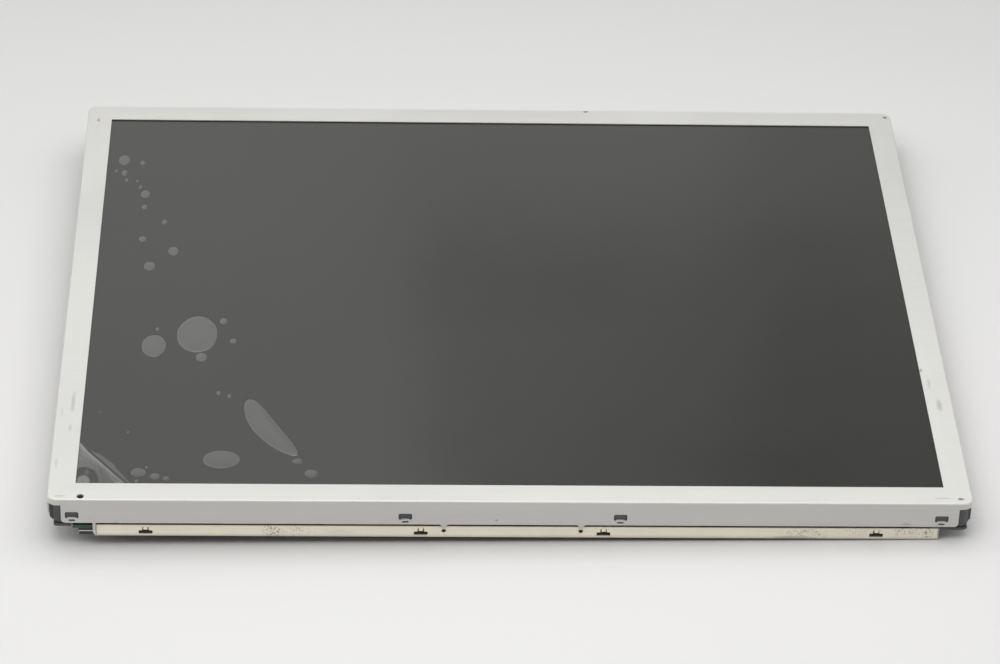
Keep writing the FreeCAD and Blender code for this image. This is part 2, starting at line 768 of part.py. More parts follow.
lamp_y = (trough_y + light_y) / 2
lamp_middle = light_guide_under + d.light_guide_thickness / 2
lamp_heights = {"lower": lamp_middle - d.lamp_spread / 2, "upper": lamp_middle + d.lamp_spread / 2}
leg_y = light_y - d.lamp_reflector_grip
leg_top = light_guide_top + d.reflector_thickness
holder_far_x = rear_inside_x - d.holder_end_gap
holder_near_x = holder_far_x - d.holder_length
trough_x = holder_near_x - d.slip_gap
lamp_x = holder_near_x + d.lamp_seat
for side, sign in (("near", -1), ("far", 1)):
    body = new_body(f"{side}_lamp_reflector")
    plan = sketch(body, "YZ_Plane", -trough_x)
    corners = [
        (leg_y * sign, rear_inside), (lamp_back_y * sign, rear_inside), (lamp_back_y * sign, leg_top),
        (leg_y * sign, leg_top), (leg_y * sign, light_guide_top), (trough_y * sign, light_guide_top),
        (trough_y * sign, light_guide_under), (leg_y * sign, light_guide_under),
    ]
    outline(plan, corners)
    pad(body, plan, trough_x * 2)
    for level, height in lamp_heights.items():
        body = new_body(f"{side}_{level}_lamp")
        plan = sketch(body, "YZ_Plane", -lamp_x)
        circle(plan, lamp_y * sign, height, d.lamp_radius)
        pad(body, plan, lamp_x * 2)
    for end, way in (("left", -1), ("right", 1)):
        body = new_body(f"{side}_{end}_lamp_holder")
        plan = sketch(body, "XY_Plane", rear_inside)
        inner = (light_y + d.slip_gap) * sign
        outer = lamp_back_y * sign
        rectangle(plan, holder_near_x * way, holder_far_x * way, inner, outer)
        pad(body, plan, light_guide_top - rear_inside)
        plan = sketch(body, "YZ_Plane", rear_x)
        for height in lamp_heights.values():
            circle(plan, lamp_y * sign, height, d.lamp_radius + d.lamp_gap)
        pocket(body, plan, rear_x * 2)

# Rear cover: a pressed steel tray with beads, board bosses and screw holes.

cover_far = d.cover_depth - guide_y
flange_far = cover_far + d.cover_flange
cover_screw_y = cover_far + d.cover_flange / 2
screw_left = d.outer_screw_end - cover_left
cover_screw_places = [screw_left, -d.inner_screw_x, d.inner_screw_x, cover_right - d.outer_screw_end]
cover_screws = [(x, cover_screw_y) for x in cover_screw_places]
shield_mid_y = (d.shield_far - d.shield_near) / 2
shield_mid_x = -(d.shield_left + d.shield_right) / 2
flange_out = d.shield_flange / 2
shield_screws = [
    (-(d.shield_left + flange_out), shield_mid_y), (flange_out - d.shield_right, shield_mid_y),
    (shield_mid_x - d.vent_width, d.shield_far + flange_out), (shield_mid_x, -(d.shield_near + flange_out)),
]
board_near = -(film_back_y - d.slip_gap * 2)
board_far = board_near + d.board_depth
board_screw_y = board_far - d.board_boss_radius * 1.6
board_screw_places = [screw_left, d.inner_screw_x, board_right - d.outer_screw_end]
source_bosses = [(x, board_screw_y) for x in board_screw_places]
control_left = d.control_inset - d.shield_left
control_right = -(d.shield_right + d.control_inset)
control_near = d.control_inset - d.shield_near
control_far = d.shield_far - d.control_inset
in_left = control_left + d.board_boss_radius * 1.6
in_right = control_right - d.board_boss_radius * 1.6
in_near = control_near + d.board_boss_radius * 4.0
in_far = control_far - d.board_boss_radius * 1.6
control_bosses = [(in_left, in_near), (in_right, in_near), (in_left, in_far), (in_right, in_far)]
bosses = source_bosses + control_bosses
cover_holes = cover_screws + shield_screws

rear = new_body("rear_cover")
plan = sketch(rear, "XY_Plane", rear_plane)
rectangle(plan, -rear_x, rear_x, -rear_y, rear_y)
wall_top = ledge_under - d.slip_gap
block = pad(rear, plan, wall_top - rear_plane)
uprights = edges(block, lambda edge: runs_along(edge, Z_WAY))
rounded = fillet(rear, block, uprights, d.rear_corner_radius)
brim = edges(rounded, lambda edge: at(edge.BoundBox.ZMax, rear_plane))
rounded = fillet(rear, rounded, brim, rear_bend)
shell(rear, rounded, faces(rounded, lambda face: at(face.BoundBox.ZMin, wall_top)), d.rear_gauge)

bead_left = d.bead_start_x
bead_right = rear_x - d.bead_end
bead_low = rear_plane - d.bead_height
bead_rows = [d.bead_pitch * step - d.bead_start_y for step in range(3)]
far_bead = rear_y - d.far_bead_end
plan = sketch(rear, "XY_Plane", bead_low)
for row in bead_rows:
    rectangle(plan, bead_left, bead_right, row, row + d.bead_width)
rectangle(plan, -bead_right, bead_right, far_bead, far_bead + d.bead_width)
ridges = pad(rear, plan, d.bead_height)
crest_edges = edges(ridges, lambda edge: at(edge.BoundBox.ZMax, bead_low))
softened = rear.newObject("PartDesign::Chamfer", "bead_slope")
softened.Base = (ridges, crest_edges)
softened.setExpression("Size", (d.bead_height * 0.8).text)
doc.recompute()
plan = sketch(rear, "XY_Plane", rear_inside)
wall = d.rear_gauge + d.bead_height * 0.8
for row in bead_rows:
    rectangle(plan, bead_left + wall, bead_right - wall, row + wall, row + d.bead_width - wall)
rectangle(plan, wall - bead_right, bead_right - wall, far_bead + wall, far_bead + d.bead_width - wall)
pocket(rear, plan, d.bead_height)

plan = sketch(rear, "XY_Plane", board_top)
for x, y in bosses:
    circle(plan, x, y, d.board_boss_radius)
pad(rear, plan, d.board_boss_height)
plan = sketch(rear, "XY_Plane", rear_inside)
for x, y in bosses + cover_holes:
    circle(plan, x, y, d.screw_radius + d.screw_gap)
pocket(rear, plan, d.rear_gauge + d.board_boss_height * 2)
plan = sketch(rear, "YZ_Plane", rear_x)
for place in mount_places:
    circle(plan, place, d.mount_height, d.mount_hole_radius + d.slip_gap * 2)
pocket(rear, plan, rear_x * 2)

# Gaps in the right walls of the tray and the guide let the lamp leads out at the holders.

lead_low = lamp_y - d.lead_gap_width / 2
lead_high = lamp_y + d.lead_gap_width / 2
lead_bottom = rear_inside + d.slip_gap * 3
lead_top = lead_bottom + d.lead_gap_height
for body in (rear, guide):
    plan = sketch(body, "YZ_Plane", beyond_x)
    rectangle(plan, -lead_high, -lead_low, lead_bottom, lead_top)
    rectangle(plan, lead_low, lead_high, lead_bottom, lead_top)
    pocket(body, plan, beyond_x - holder_far_x)

# Steel rails with tapped holes behind the side walls take the screws of a monitor's frame.

for side, sign in (("left", -1), ("right", 1)):
    body = new_body(f"{side}_mount_rail")
    plan = sketch(body, "XY_Plane", d.mount_height - d.rail_height / 2)
    inner = (rear_inside_x - d.rail_thickness) * sign
    rectangle(plan, inner, rear_inside_x * sign, -(d.rail_length / 2), d.rail_length / 2)
    pad(body, plan, d.rail_height)
    plan = sketch(body, "YZ_Plane", rear_x)
    for place in mount_places:
        circle(plan, place, d.mount_height, d.mount_hole_radius)
    pocket(body, plan, rear_x * 2)

# Driver board on the back along the near edge, with its insulator and connector.

board = new_body("source_board")
plan = sketch(board, "XY_Plane", board_under)
rectangle(plan, -board_left, board_right, board_near, board_far)
for x, y in source_bosses:
    circle(plan, x, y, d.screw_radius + d.screw_gap)
pad(board, plan, d.board_thickness)

insulator = new_body("board_insulator")
plan = sketch(insulator, "XY_Plane", rear_plane - d.insulator_thickness)
insulator_near = board_bond_y + d.slip_gap * 4
insulator_far = board_far + d.slip_gap * 5
rectangle(plan, d.bond_length - board_left, board_right, insulator_near, insulator_far)
for x, y in source_bosses:
    circle(plan, x, y, d.board_boss_radius + d.slip_gap)
pad(insulator, plan, d.insulator_thickness)

connector_left = d.bond_length - board_left
connector_right = connector_left + d.connector_width
connector_near = board_near + d.slip_gap
connector_far = connector_near + d.connector_depth
connector_middle = (board_under + cover_back) / 2
plate(
    "edge_connector", connector_left, connector_right, connector_near, connector_far,
    cover_back, connector_middle,
)
plate(
    "connector_frame", connector_left - d.slip_gap, connector_right,
    connector_near - d.slip_gap, connector_far,
    connector_middle, connector_middle + d.connector_band,
)
plate(
    "connector_base", connector_left, connector_right, connector_near, connector_far,
    connector_middle + d.connector_band, board_under,
)

# Board cover: a long folded channel whose near wall is the pale strip under the skirt.

cover = new_body("board_cover")
plan = sketch(cover, "YZ_Plane", -cover_left)
in_low = cover_back + d.cover_gauge
in_far = cover_far - d.cover_gauge
flange_low = rear_plane - d.cover_gauge
corners = [
    (-guide_y, rear_plane), (-guide_y, cover_back), (cover_far, cover_back), (cover_far, flange_low),
    (flange_far, flange_low), (flange_far, rear_plane), (in_far, rear_plane), (in_far, in_low),
    (-cover_inside_y, in_low), (-cover_inside_y, rear_plane),
]
outline(plan, corners)
channel = pad(cover, plan, cover_left + cover_right)


def on_outer_bend(edge):
    """Tells whether an edge is an outer bend of the board cover."""
    middle = edge.CenterOfMass
    return runs_along(edge, X_WAY) and at(middle.z, cover_back)


fillet(cover, channel, edges(channel, on_outer_bend), d.cover_gauge * 1.6)
slot_low = cover_back + d.cover_slot_lift
slot_top = slot_low + d.cover_slot_height
lance_top = slot_top + d.cover_lance_height
outer_slot = half_x - d.outer_slot_end
slot_places = [
    d.strip_offset - outer_slot, d.strip_offset - d.inner_slot_x,
    d.inner_slot_x + d.strip_offset, outer_slot + d.strip_offset,
]
plan = sketch(cover, "XZ_Plane", beyond_y)
for place in slot_places:
    wide = d.cover_slot_width / 2
    slim = d.cover_lance_width / 2
    peak = d.cover_lance_width * 0.45
    corners = [
        (place - wide, slot_low), (place + wide, slot_low), (place + wide, slot_top),
        (place + slim, slot_top), (place + peak, lance_top), (place - peak, lance_top),
        (place - slim, slot_top), (place - wide, slot_top),
    ]
    outline(plan, corners)
for place in tongue_places:
    circle(plan, place, tongue_tip - d.tongue_hole_drop, d.tongue_hole_radius)
pocket(cover, plan, d.bezel_gauge * 4 + d.cover_gauge)

# A small tab hangs before the stem of each slot.

plan = sketch(cover, "XZ_Plane", guide_y)
for place in slot_places:
    tab = d.cover_tab_width / 2
    rectangle(plan, place - tab, place + tab, lance_top - d.cover_tab_height, lance_top + d.cover_tab_root)
pad(cover, plan, d.cover_gauge)
plan = sketch(cover, "XY_Plane", rear_plane)
for x, y in cover_screws:
    circle(plan, x, y, d.screw_radius + d.screw_gap)
pocket(cover, plan, d.cover_gauge * 2)

# The flat cables cross from the driver board to the control board through slots in both covers.

cable_low = board_under - d.socket_height * 0.6
cable_places = [shield_mid_x - d.cable_pitch / 2, shield_mid_x + d.cable_pitch / 2]
slot_half = d.cable_width / 2 + d.slip_gap * 5
cable_slot_low = cable_low - d.slip_gap * 3
cable_slot_top = cable_low + d.cable_thickness + d.slip_gap * 3
plan = sketch(cover, "XZ_Plane", d.cover_gauge * 2 - cover_far)
for place in cable_places:
    rectangle(plan, place - slot_half, place + slot_half, cable_slot_low, cable_slot_top)
pocket(cover, plan, d.cover_gauge * 3)

# Control board with its chips, connector and sockets under a vented shield.

control = new_body("control_board")
plan = sketch(control, "XY_Plane", board_under)
rectangle(plan, control_left, control_right, control_near, control_far)
for x, y in control_bosses:
    circle(plan, x, y, d.screw_radius + d.screw_gap)
pad(control, plan, d.board_thickness)

chips = new_body("control_chips")
plan = sketch(chips, "XY_Plane", board_under - d.chip_height)
chip = d.driver_chip_width
mid_x = shield_mid_x
mid_y = shield_mid_y
rectangle(plan, mid_x - chip, mid_x + chip * 0.5, mid_y - chip, mid_y + chip * 0.5)
rectangle(plan, in_left + chip, in_left + chip * 1.6, mid_y, mid_y + chip)
rectangle(plan, in_right - chip * 1.4, in_right - chip * 0.7, mid_y - chip, mid_y + chip * 0.4)
pad(chips, plan, d.chip_height)

signal_half = d.signal_width / 2
signal_far = d.shield_far + d.shield_gauge
signal_low = board_under - d.signal_height
signal = new_body("signal_connector")
plan = sketch(signal, "XZ_Plane", -signal_far)
rectangle(plan, shield_mid_x - signal_half, shield_mid_x + signal_half, signal_low, board_under)
pad(signal, plan, d.signal_depth)
plan = sketch(signal, "XZ_Plane", d.signal_mouth - signal_far)
mouth_half = signal_half - d.signal_wall
mouth_low = signal_low + d.signal_wall
mouth_top = board_under - d.signal_wall
rectangle(plan, shield_mid_x - mouth_half, shield_mid_x + mouth_half, mouth_low, mouth_top)
pocket(signal, plan, d.signal_mouth)

sockets = new_body("board_sockets")
plan = sketch(sockets, "XY_Plane", board_under - d.socket_height)
half_socket = d.cable_width / 2 + d.slip_gap * 5
for place in cable_places:
    rectangle(plan, place - half_socket, place + half_socket, board_far - d.socket_depth, board_far)
    rectangle(plan, place - half_socket, place + half_socket, control_near, control_near + d.socket_depth)
pad(sockets, plan, d.socket_height)
for side, place in zip(("left", "right"), cable_places):
    half = d.cable_width / 2
    plate(
        f"{side}_flat_cable", place - half, place + half, board_far, control_near,
        cable_low, cable_low + d.cable_thickness,
    )

shield = new_body("control_shield")
plan = sketch(shield, "XY_Plane", d.shield_gauge * 0)
rectangle(plan, -d.shield_left, -d.shield_right, -d.shield_near, d.shield_far)
block = pad(shield, plan, rear_plane)
uprights = edges(block, lambda edge: runs_along(edge, Z_WAY))
rounded = fillet(shield, block, uprights, d.shield_round)
brim = edges(rounded, lambda edge: at(edge.BoundBox.ZMax, 0))
rounded = fillet(shield, rounded, brim, d.shield_gauge * 1.5)
shell(shield, rounded, faces(rounded, lambda face: at(face.BoundBox.ZMin, rear_plane)), d.shield_gauge)
plan = sketch(shield, "XY_Plane", rear_plane - d.shield_gauge)
out_left = -(d.shield_left + d.shield_flange)
out_right = d.shield_flange - d.shield_right
out_near = -(d.shield_near + d.shield_flange)
out_far = d.shield_far + d.shield_flange
rectangle(plan, out_left, out_right, out_near, out_far)
inner_left = d.shield_gauge / 2 - d.shield_left
inner_right = -(d.shield_right + d.shield_gauge / 2)
inner_near = d.shield_gauge / 2 - d.shield_near
inner_far = d.shield_far - d.shield_gauge / 2
rectangle(plan, inner_left, inner_right, inner_near, inner_far)
pad(shield, plan, d.shield_gauge)
plan = sketch(shield, "XY_Plane", rear_plane)
for x, y in shield_screws:
    circle(plan, x, y, d.screw_radius + d.screw_gap)
pocket(shield, plan, d.shield_gauge * 2)
plan = sketch(shield, "XZ_Plane", d.shield_near + d.shield_gauge)
for place in cable_places:
    rectangle(plan, place - slot_half, place + slot_half, cable_slot_low, cable_slot_top)
pocket(shield, plan, d.shield_gauge * 3)
plan = sketch(shield, "XZ_Plane", d.shield_gauge * 2 - d.shield_far)
opening = signal_half + d.slip_gap * 2
opening_low = signal_low - d.slip_gap * 2
opening_top = board_under + d.slip_gap * 2
rectangle(plan, shield_mid_x - opening, shield_mid_x + opening, opening_low, opening_top)
pocket(shield, plan, d.shield_gauge * 3)

# Two columns of vent slots in the shield's back.

VENTS = 6
plan = sketch(shield, "XY_Plane", d.shield_gauge * 2)
for column in (-1, 1):
    left = shield_mid_x + d.vent_width * (column * 1.4 - 0.5)
    for step in range(VENTS):
        low = shield_mid_y + d.vent_pitch * (step - VENTS / 2)
        rectangle(plan, left, left + d.vent_width, low, low + d.vent_height)
pocket(shield, plan, d.shield_gauge * 3)

# Screws: one set through the flanges of both covers, one set through both boards.


def screw_group(name, places, head_top, shank_top):
    """Makes one node of equal screws with heads that face the back."""
    body = new_body(name)
    heads = sketch(body, "XY_Plane", head_top - d.screw_head_height)
    for x, y in places:
        circle(heads, x, y, d.screw_head_radius)
    pad(body, heads, d.screw_head_height)
    shanks = sketch(body, "XY_Plane", head_top)
    for x, y in places:
        circle(shanks, x, y, d.screw_radius)
    pad(body, shanks, shank_top - head_top)


shank_end = rear_inside - d.screw_gap
screw_group("cover_screws", cover_screws, flange_low, shank_end)
screw_group("shield_screws", shield_screws, rear_plane - d.shield_gauge, shank_end)
screw_group("board_screws", bosses, board_under, shank_end)

# Every object is checked, then each piece is written to its own file.

doc.recompute()
for item in doc.Objects:
    if "Invalid" in item.State or "Error" in item.State:
        raise ValueError(f"{item.Label} did not build")
os.makedirs("parts", exist_ok=True)
pieces = [item for item in doc.Objects if item.TypeId in ("PartDesign::Body", "Part::Box")]
for piece in pieces:
    if piece.Shape.isNull() or not piece.Shape.isValid():
        raise ValueError(f"{piece.Label} has no valid shape")
    piece.Shape.exportStep(f"parts/{piece.Label}.step")
print(len(pieces), "pieces written")
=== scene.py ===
# %% [markdown]
# # A bare flat screen panel on a pale table
# The object is the display module from inside a desktop monitor. It lies on its back.
# The solids come ready made, in metres, and stay where they are. This lesson gives
# them light, finishes and the few thin things that only the eye needs: the loose film
# over the screen with its trapped air, and the cross recesses of the screws.

# %% Load the panel
import json

import bpy
import numpy as np
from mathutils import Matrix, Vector


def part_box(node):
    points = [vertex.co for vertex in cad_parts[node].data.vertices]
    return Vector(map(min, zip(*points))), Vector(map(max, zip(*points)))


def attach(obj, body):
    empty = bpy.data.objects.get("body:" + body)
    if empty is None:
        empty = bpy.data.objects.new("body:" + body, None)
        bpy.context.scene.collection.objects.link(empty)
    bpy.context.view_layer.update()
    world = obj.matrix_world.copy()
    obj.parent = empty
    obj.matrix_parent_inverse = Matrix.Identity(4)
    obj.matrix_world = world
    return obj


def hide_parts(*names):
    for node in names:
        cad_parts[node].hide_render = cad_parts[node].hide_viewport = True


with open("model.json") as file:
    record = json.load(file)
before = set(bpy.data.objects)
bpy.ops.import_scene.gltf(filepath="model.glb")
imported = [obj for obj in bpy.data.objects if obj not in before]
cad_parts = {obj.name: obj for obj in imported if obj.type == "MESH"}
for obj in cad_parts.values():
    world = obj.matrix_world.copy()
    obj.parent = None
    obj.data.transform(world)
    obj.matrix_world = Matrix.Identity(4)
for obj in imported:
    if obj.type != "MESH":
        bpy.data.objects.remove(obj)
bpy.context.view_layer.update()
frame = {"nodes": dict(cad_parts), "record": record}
MM = 0.001

# %% [markdown]
# ## The camera
# The four corners of the screen window fix the camera. With the window's size in the solids,
# they give the place, the three turns and the lens. A guess by eye would leave every edge a
# few pixels off, so the worked out numbers are used as they are. The turns are applied in
# the order roll, yaw, pitch, which Blender writes as ZYX.

# %% Camera from the window's corners
PICTURE_WIDTH = 1000
FOCAL_PIXELS = 3894.55
SENSOR_WIDTH = 36.0
CAMERA_PLACE = np.array((-75.61, -1520.23, 1039.20)) * MM
CAMERA_TURNS = np.radians((55.6475, -2.3582, 0.3880))
SEEN_FROM = 0.05
SEEN_TO = 60.0
camera_data = bpy.data.cameras.new("camera")
camera_data.sensor_fit = "HORIZONTAL"
camera_data.sensor_width = SENSOR_WIDTH
camera_data.lens = FOCAL_PIXELS / PICTURE_WIDTH * SENSOR_WIDTH
camera_data.clip_start = SEEN_FROM
camera_data.clip_end = SEEN_TO
camera = bpy.data.objects.new("camera", camera_data)
camera.location = CAMERA_PLACE
camera.rotation_mode = "ZYX"
camera.rotation_euler = CAMERA_TURNS
bpy.context.scene.collection.objects.link(camera)
bpy.context.scene.camera = camera
bpy.context.scene.view_settings.view_transform = "Standard"
print("lens in mm", round(camera_data.lens, 2))

# %% [markdown]
# ## Small helpers for node trees
# A finish is a tree of nodes. Writing each node out in full takes six lines, so six helpers
# do it: one sets or links a socket, and the others add a sum, a vector sum, a colour mix, a
# noise and a ramp. A value that is a socket gets linked, and any other value is set.

# %% Helpers for node trees
# A Mix node has sockets for every kind of value. These three are the ones for colours.
MIX_FIRST, MIX_SECOND, MIX_RESULT = 6, 7, 2
# A noise has this mean, and most of it lies in this range.
NOISE_MEAN = 0.5
NOISE_RANGE = (0.3, 0.7)


def put(tree, socket, value):
    """Links value to the socket if it is a socket itself, and sets it otherwise."""
    if isinstance(value, bpy.types.NodeSocket):
        tree.links.new(value, socket)
    else:
        socket.default_value = value


def calc(tree, operation, first, second=0.0):
    """One Math node: first operation second."""
    node = tree.nodes.new("ShaderNodeMath")
    node.operation = operation
    put(tree, node.inputs[0], first)
    put(tree, node.inputs[1], second)
    return node.outputs[0]


def calc_vector(tree, operation, first, second=(0.0, 0.0, 0.0)):
    """One Vector Math node, with its number for LENGTH and its vector otherwise."""
    node = tree.nodes.new("ShaderNodeVectorMath")
    node.operation = operation
    put(tree, node.inputs[0], first)
    put(tree, node.inputs[1], second)
    return node.outputs["Value" if operation == "LENGTH" else "Vector"]


def mix_colour(tree, factor, first, second):
    """One colour Mix node: first at factor 0, second at factor 1."""
    node = tree.nodes.new("ShaderNodeMix")
    node.data_type = "RGBA"
    put(tree, node.inputs[0], factor)
    put(tree, node.inputs[MIX_FIRST], first)
    put(tree, node.inputs[MIX_SECOND], second)
    return node.outputs[MIX_RESULT]


def noise(tree, place, scale, detail=3.0, rough=0.55):
    """One Noise node, from about 0.25 to 0.75 round a mean of a half."""
    node = tree.nodes.new("ShaderNodeTexNoise")
    put(tree, node.inputs["Vector"], place)
    put(tree, node.inputs["Scale"], scale)
    put(tree, node.inputs["Detail"], detail)
    put(tree, node.inputs["Roughness"], rough)
    return node.outputs["Fac"]


def ramp(tree, value, low, high, out_low=0.0, out_high=1.0):
    """One smooth Map Range node: out_low at low, out_high at high."""
    node = tree.nodes.new("ShaderNodeMapRange")
    node.interpolation_type = "SMOOTHSTEP"
    for socket, number in zip(node.inputs, (value, low, high, out_low, out_high)):
        put(tree, socket, number)
    return node.outputs[0]


print("helpers ready")

# %% [markdown]
# ## Table and light
# The picture looks as if it was taken in a light tent: a pale table, one big soft lamp
# overhead, a small one in front, wide ones at the left and the right, and dim cards behind,
# which the dark screen mirrors, most of all at its left. Real walls could be built all
# round, but a plain even world with a few rectangle lamps does the same with less.
# Far from the panel the table turns into a backdrop. The camera and mirrors see it as a
# pale colour, and it lights nothing else.
# The panel rests on its shield and on the right end of the strip, so the table is tilted
# under it by under a degree, and the gap below the strip is a wedge as on the real one.

# %% Table
FLOOR_HALF = 6.0
SHIELD_EDGE = -15.0 * MM
STRIP_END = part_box("board_cover")[1].x
FLOOR_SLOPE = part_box("board_cover")[0].z / (STRIP_END - SHIELD_EDGE)
floor_xy = np.array([(-1, -1), (1, -1), (1, 1), (-1, 1)]) * FLOOR_HALF
floor_points = np.column_stack([floor_xy, (floor_xy[:, 0] - SHIELD_EDGE) * FLOOR_SLOPE])
floor_mesh = bpy.data.meshes.new("table")
floor_mesh.from_pydata(floor_points.tolist(), [], [(0, 1, 2, 3)])
table = bpy.data.objects.new("table", floor_mesh)
bpy.context.scene.collection.objects.link(table)
print("slope of the table in degrees", round(float(np.degrees(np.arctan(FLOOR_SLOPE))), 3))

# %% Finish of the table
# The table is painted darker towards the back. This is painted shade for the light that falls off
# away from the lamps.
TABLE_NEAR = (0.635, 0.63, 0.625, 1)
TABLE_FAR = (0.59, 0.595, 0.588, 1)
TABLE_ROUGHNESS = 0.6
BACKDROP = (0.68, 0.685, 0.675, 1)
# Both in metres: the depths between which the painted falloff darkens the table towards the back, and
# the distances from the middle between which the backdrop takes over.
FALLOFF_DEPTHS = (-0.1, 0.45)
BACKDROP_CHANGE = (0.45, 1.1)
table_finish = bpy.data.materials.new("pale_table")
table_finish.use_nodes = True
tree = table_finish.node_tree
table_shader = tree.nodes["Principled BSDF"]
table_place = tree.nodes.new("ShaderNodeTexCoord").outputs["Object"]
table_depth = tree.nodes.new("ShaderNodeSeparateXYZ")
put(tree, table_depth.inputs[0], table_place)
table_painted_falloff = ramp(tree, table_depth.outputs["Y"], *FALLOFF_DEPTHS)
put(tree, table_shader.inputs["Roughness"], TABLE_ROUGHNESS)
put(tree, table_shader.inputs["Base Color"], mix_colour(tree, table_painted_falloff, TABLE_NEAR, TABLE_FAR))
backdrop = tree.nodes.new("ShaderNodeEmission")
put(tree, backdrop.inputs["Color"], BACKDROP)
away = ramp(tree, calc_vector(tree, "LENGTH", table_place), *BACKDROP_CHANGE)
rays = tree.nodes.new("ShaderNodeLightPath").outputs
mirrored = calc(tree, "MAXIMUM", rays["Is Glossy Ray"], rays["Is Transmission Ray"])
seen = calc(tree, "MAXIMUM", rays["Is Camera Ray"], mirrored)
blend = tree.nodes.new("ShaderNodeMixShader")
put(tree, blend.inputs[0], calc(tree, "MULTIPLY", away, seen))
put(tree, blend.inputs[1], table_shader.outputs[0])
put(tree, blend.inputs[2], backdrop.outputs[0])
put(tree, tree.nodes["Material Output"].inputs["Surface"], blend.outputs[0])
floor_mesh.materials.append(table_finish)
print("table finished with", len(tree.nodes), "nodes")

# %% World
WORLD_COLOUR = (1.0, 1.0, 0.99, 1)
WORLD_LEVEL = 0.22
world = bpy.data.worlds.new("tent")
world.use_nodes = True
bpy.context.scene.world = world
sky = world.node_tree.nodes["Background"]
put(world.node_tree, sky.inputs["Color"], WORLD_COLOUR)
put(world.node_tree, sky.inputs["Strength"], WORLD_LEVEL)
print("level of the world", WORLD_LEVEL)

# %% Lamps
PANEL_MIDDLE = (0.0, 0.0, 0.0)
# Each lamp is its place, the point that it faces, its width and height, all in metres, and
# its radiance.
LAMPS = {
    "top_softbox": ((0.0, -0.10, 0.80), (0.0, -0.10, 0.0), 1.0, 1.0, 2.0),
    "front_softbox": ((-0.20, -0.62, 1.00), (-0.05, -0.15, 0.0), 0.5, 0.5, 2.6),
    "left_softbox": ((-1.10, 0.10, 0.75), PANEL_MIDDLE, 1.8, 1.2, 1.2),
    "right_softbox": ((1.10, 0.10, 0.75), PANEL_MIDDLE, 1.8, 1.2, 0.95),
    "far_card_left": ((-0.79, 2.4, 1.60), PANEL_MIDDLE, 1.62, 1.7, 0.58),
    "far_card_middle": ((0.19, 2.4, 1.60), PANEL_MIDDLE, 0.42, 1.7, 0.21),
    "far_card_right": ((0.56, 2.4, 1.10), PANEL_MIDDLE, 1.2, 0.8, 0.37),
}


def soft_lamp(name, place, target, width, height, radiance):
    """A rectangle lamp. Its power is radiance times its area times pi."""
    data = bpy.data.lights.new(name, "AREA")
    data.shape = "RECTANGLE"
    data.size = width
    data.size_y = height
    data.energy = radiance * width * height * np.pi
    lamp = bpy.data.objects.new(name, data)
    lamp.location = place
    aim = lamp.location - Vector(target)
    lamp.rotation_euler = aim.to_track_quat("Z", "Y").to_euler()
    bpy.context.scene.collection.objects.link(lamp)


for name, lamp_row in LAMPS.items():
    soft_lamp(name, *lamp_row)
print("lamps", list(LAMPS))

# %% [markdown]
# ## Shared effects
# Several finishes share an effect, so each effect is a node group that is built once. A
# group has named sockets and gives out colours, masks and heights only: the shader itself
# stays in the material, where its plain numbers are set on its own sockets. The skins of
# metal and plastic all take a tone, a darker shade and a number for how matt they are.

# %% Helpers for node groups
SKIN_INPUTS = [("Place", "Vector"), ("Tone", "Color"), ("Shade", "Color"), ("Matt", "Float")]
SKIN_OUTPUTS = [("Color", "Color"), ("Roughness", "Float")]
HEIGHT_OUTPUT = [("Height", "Float")]


def new_group(name, inputs, outputs):
    """A shader node group with these named sockets. Gives the tree, its inputs and its outputs."""
    group = bpy.data.node_groups.new(name, "ShaderNodeTree")
    for label, kind in inputs:
        group.interface.new_socket(label, in_out="INPUT", socket_type="NodeSocket" + kind)
    for label, kind in outputs:
        group.interface.new_socket(label, in_out="OUTPUT", socket_type="NodeSocket" + kind)
    entry = group.nodes.new("NodeGroupInput")
    leave = group.nodes.new("NodeGroupOutput")
    return group, entry.outputs, leave.inputs


def use_group(tree, group, **values):
    """Places a group in a tree. Each value goes to the input of its name."""
    node = tree.nodes.new("ShaderNodeGroup")
    node.node_tree = group
    for label, value in values.items():
        put(tree, node.inputs[label], value)
    return node.outputs


def past_mean(group, value, factor):
    """How far a noise is above its mean, times factor."""
    return calc(group, "MULTIPLY", calc(group, "SUBTRACT", value, NOISE_MEAN), factor)


def skin_out(group, entry, leave, share, spread):
    """Color goes from Shade at share 0 to Tone at share 1, and Roughness is Matt plus spread."""
    put(group, leave["Color"], mix_colour(group, share, entry["Shade"], entry["Tone"]))
    put(group, leave["Roughness"], calc(group, "ADD", entry["Matt"], spread))


print("group helpers ready")

# %% [markdown]
# ### Rolled grain
# Steel sheet keeps fine lines from the rolls that made it, all in one direction, and
# slow clouds of tone on top. A wave texture would give lines that are too even, so a noise
# is stretched along the sheet.

# %% Group for rolled grain
CLOUD_SCALE = 14.0
CLOUD_SPREAD = 0.25
GRAIN_RANGE = (0.36, 0.6)
rolled_grain, entry, leave = new_group(
    "rolled_grain", SKIN_INPUTS + [("Run", "Vector")], SKIN_OUTPUTS + HEIGHT_OUTPUT,
)
stretched = calc_vector(rolled_grain, "MULTIPLY", entry["Place"], entry["Run"])
lines = noise(rolled_grain, stretched, scale=1.0, detail=4.0, rough=0.65)
clouds = noise(rolled_grain, entry["Place"], CLOUD_SCALE)
tone = calc(rolled_grain, "MULTIPLY", calc(rolled_grain, "ADD", lines, clouds), 0.5)
spread = past_mean(rolled_grain, clouds, CLOUD_SPREAD)
skin_out(rolled_grain, entry, leave, ramp(rolled_grain, tone, *GRAIN_RANGE), spread)
put(rolled_grain, leave["Height"], lines)
print("group", rolled_grain.name)

# %% [markdown]
# ### Zinc flowers
# Zinc coated sheet shows flat crystals, each with its own grey. A noise has no such edges,
# but Voronoi cells have that look: one random tone for each cell.

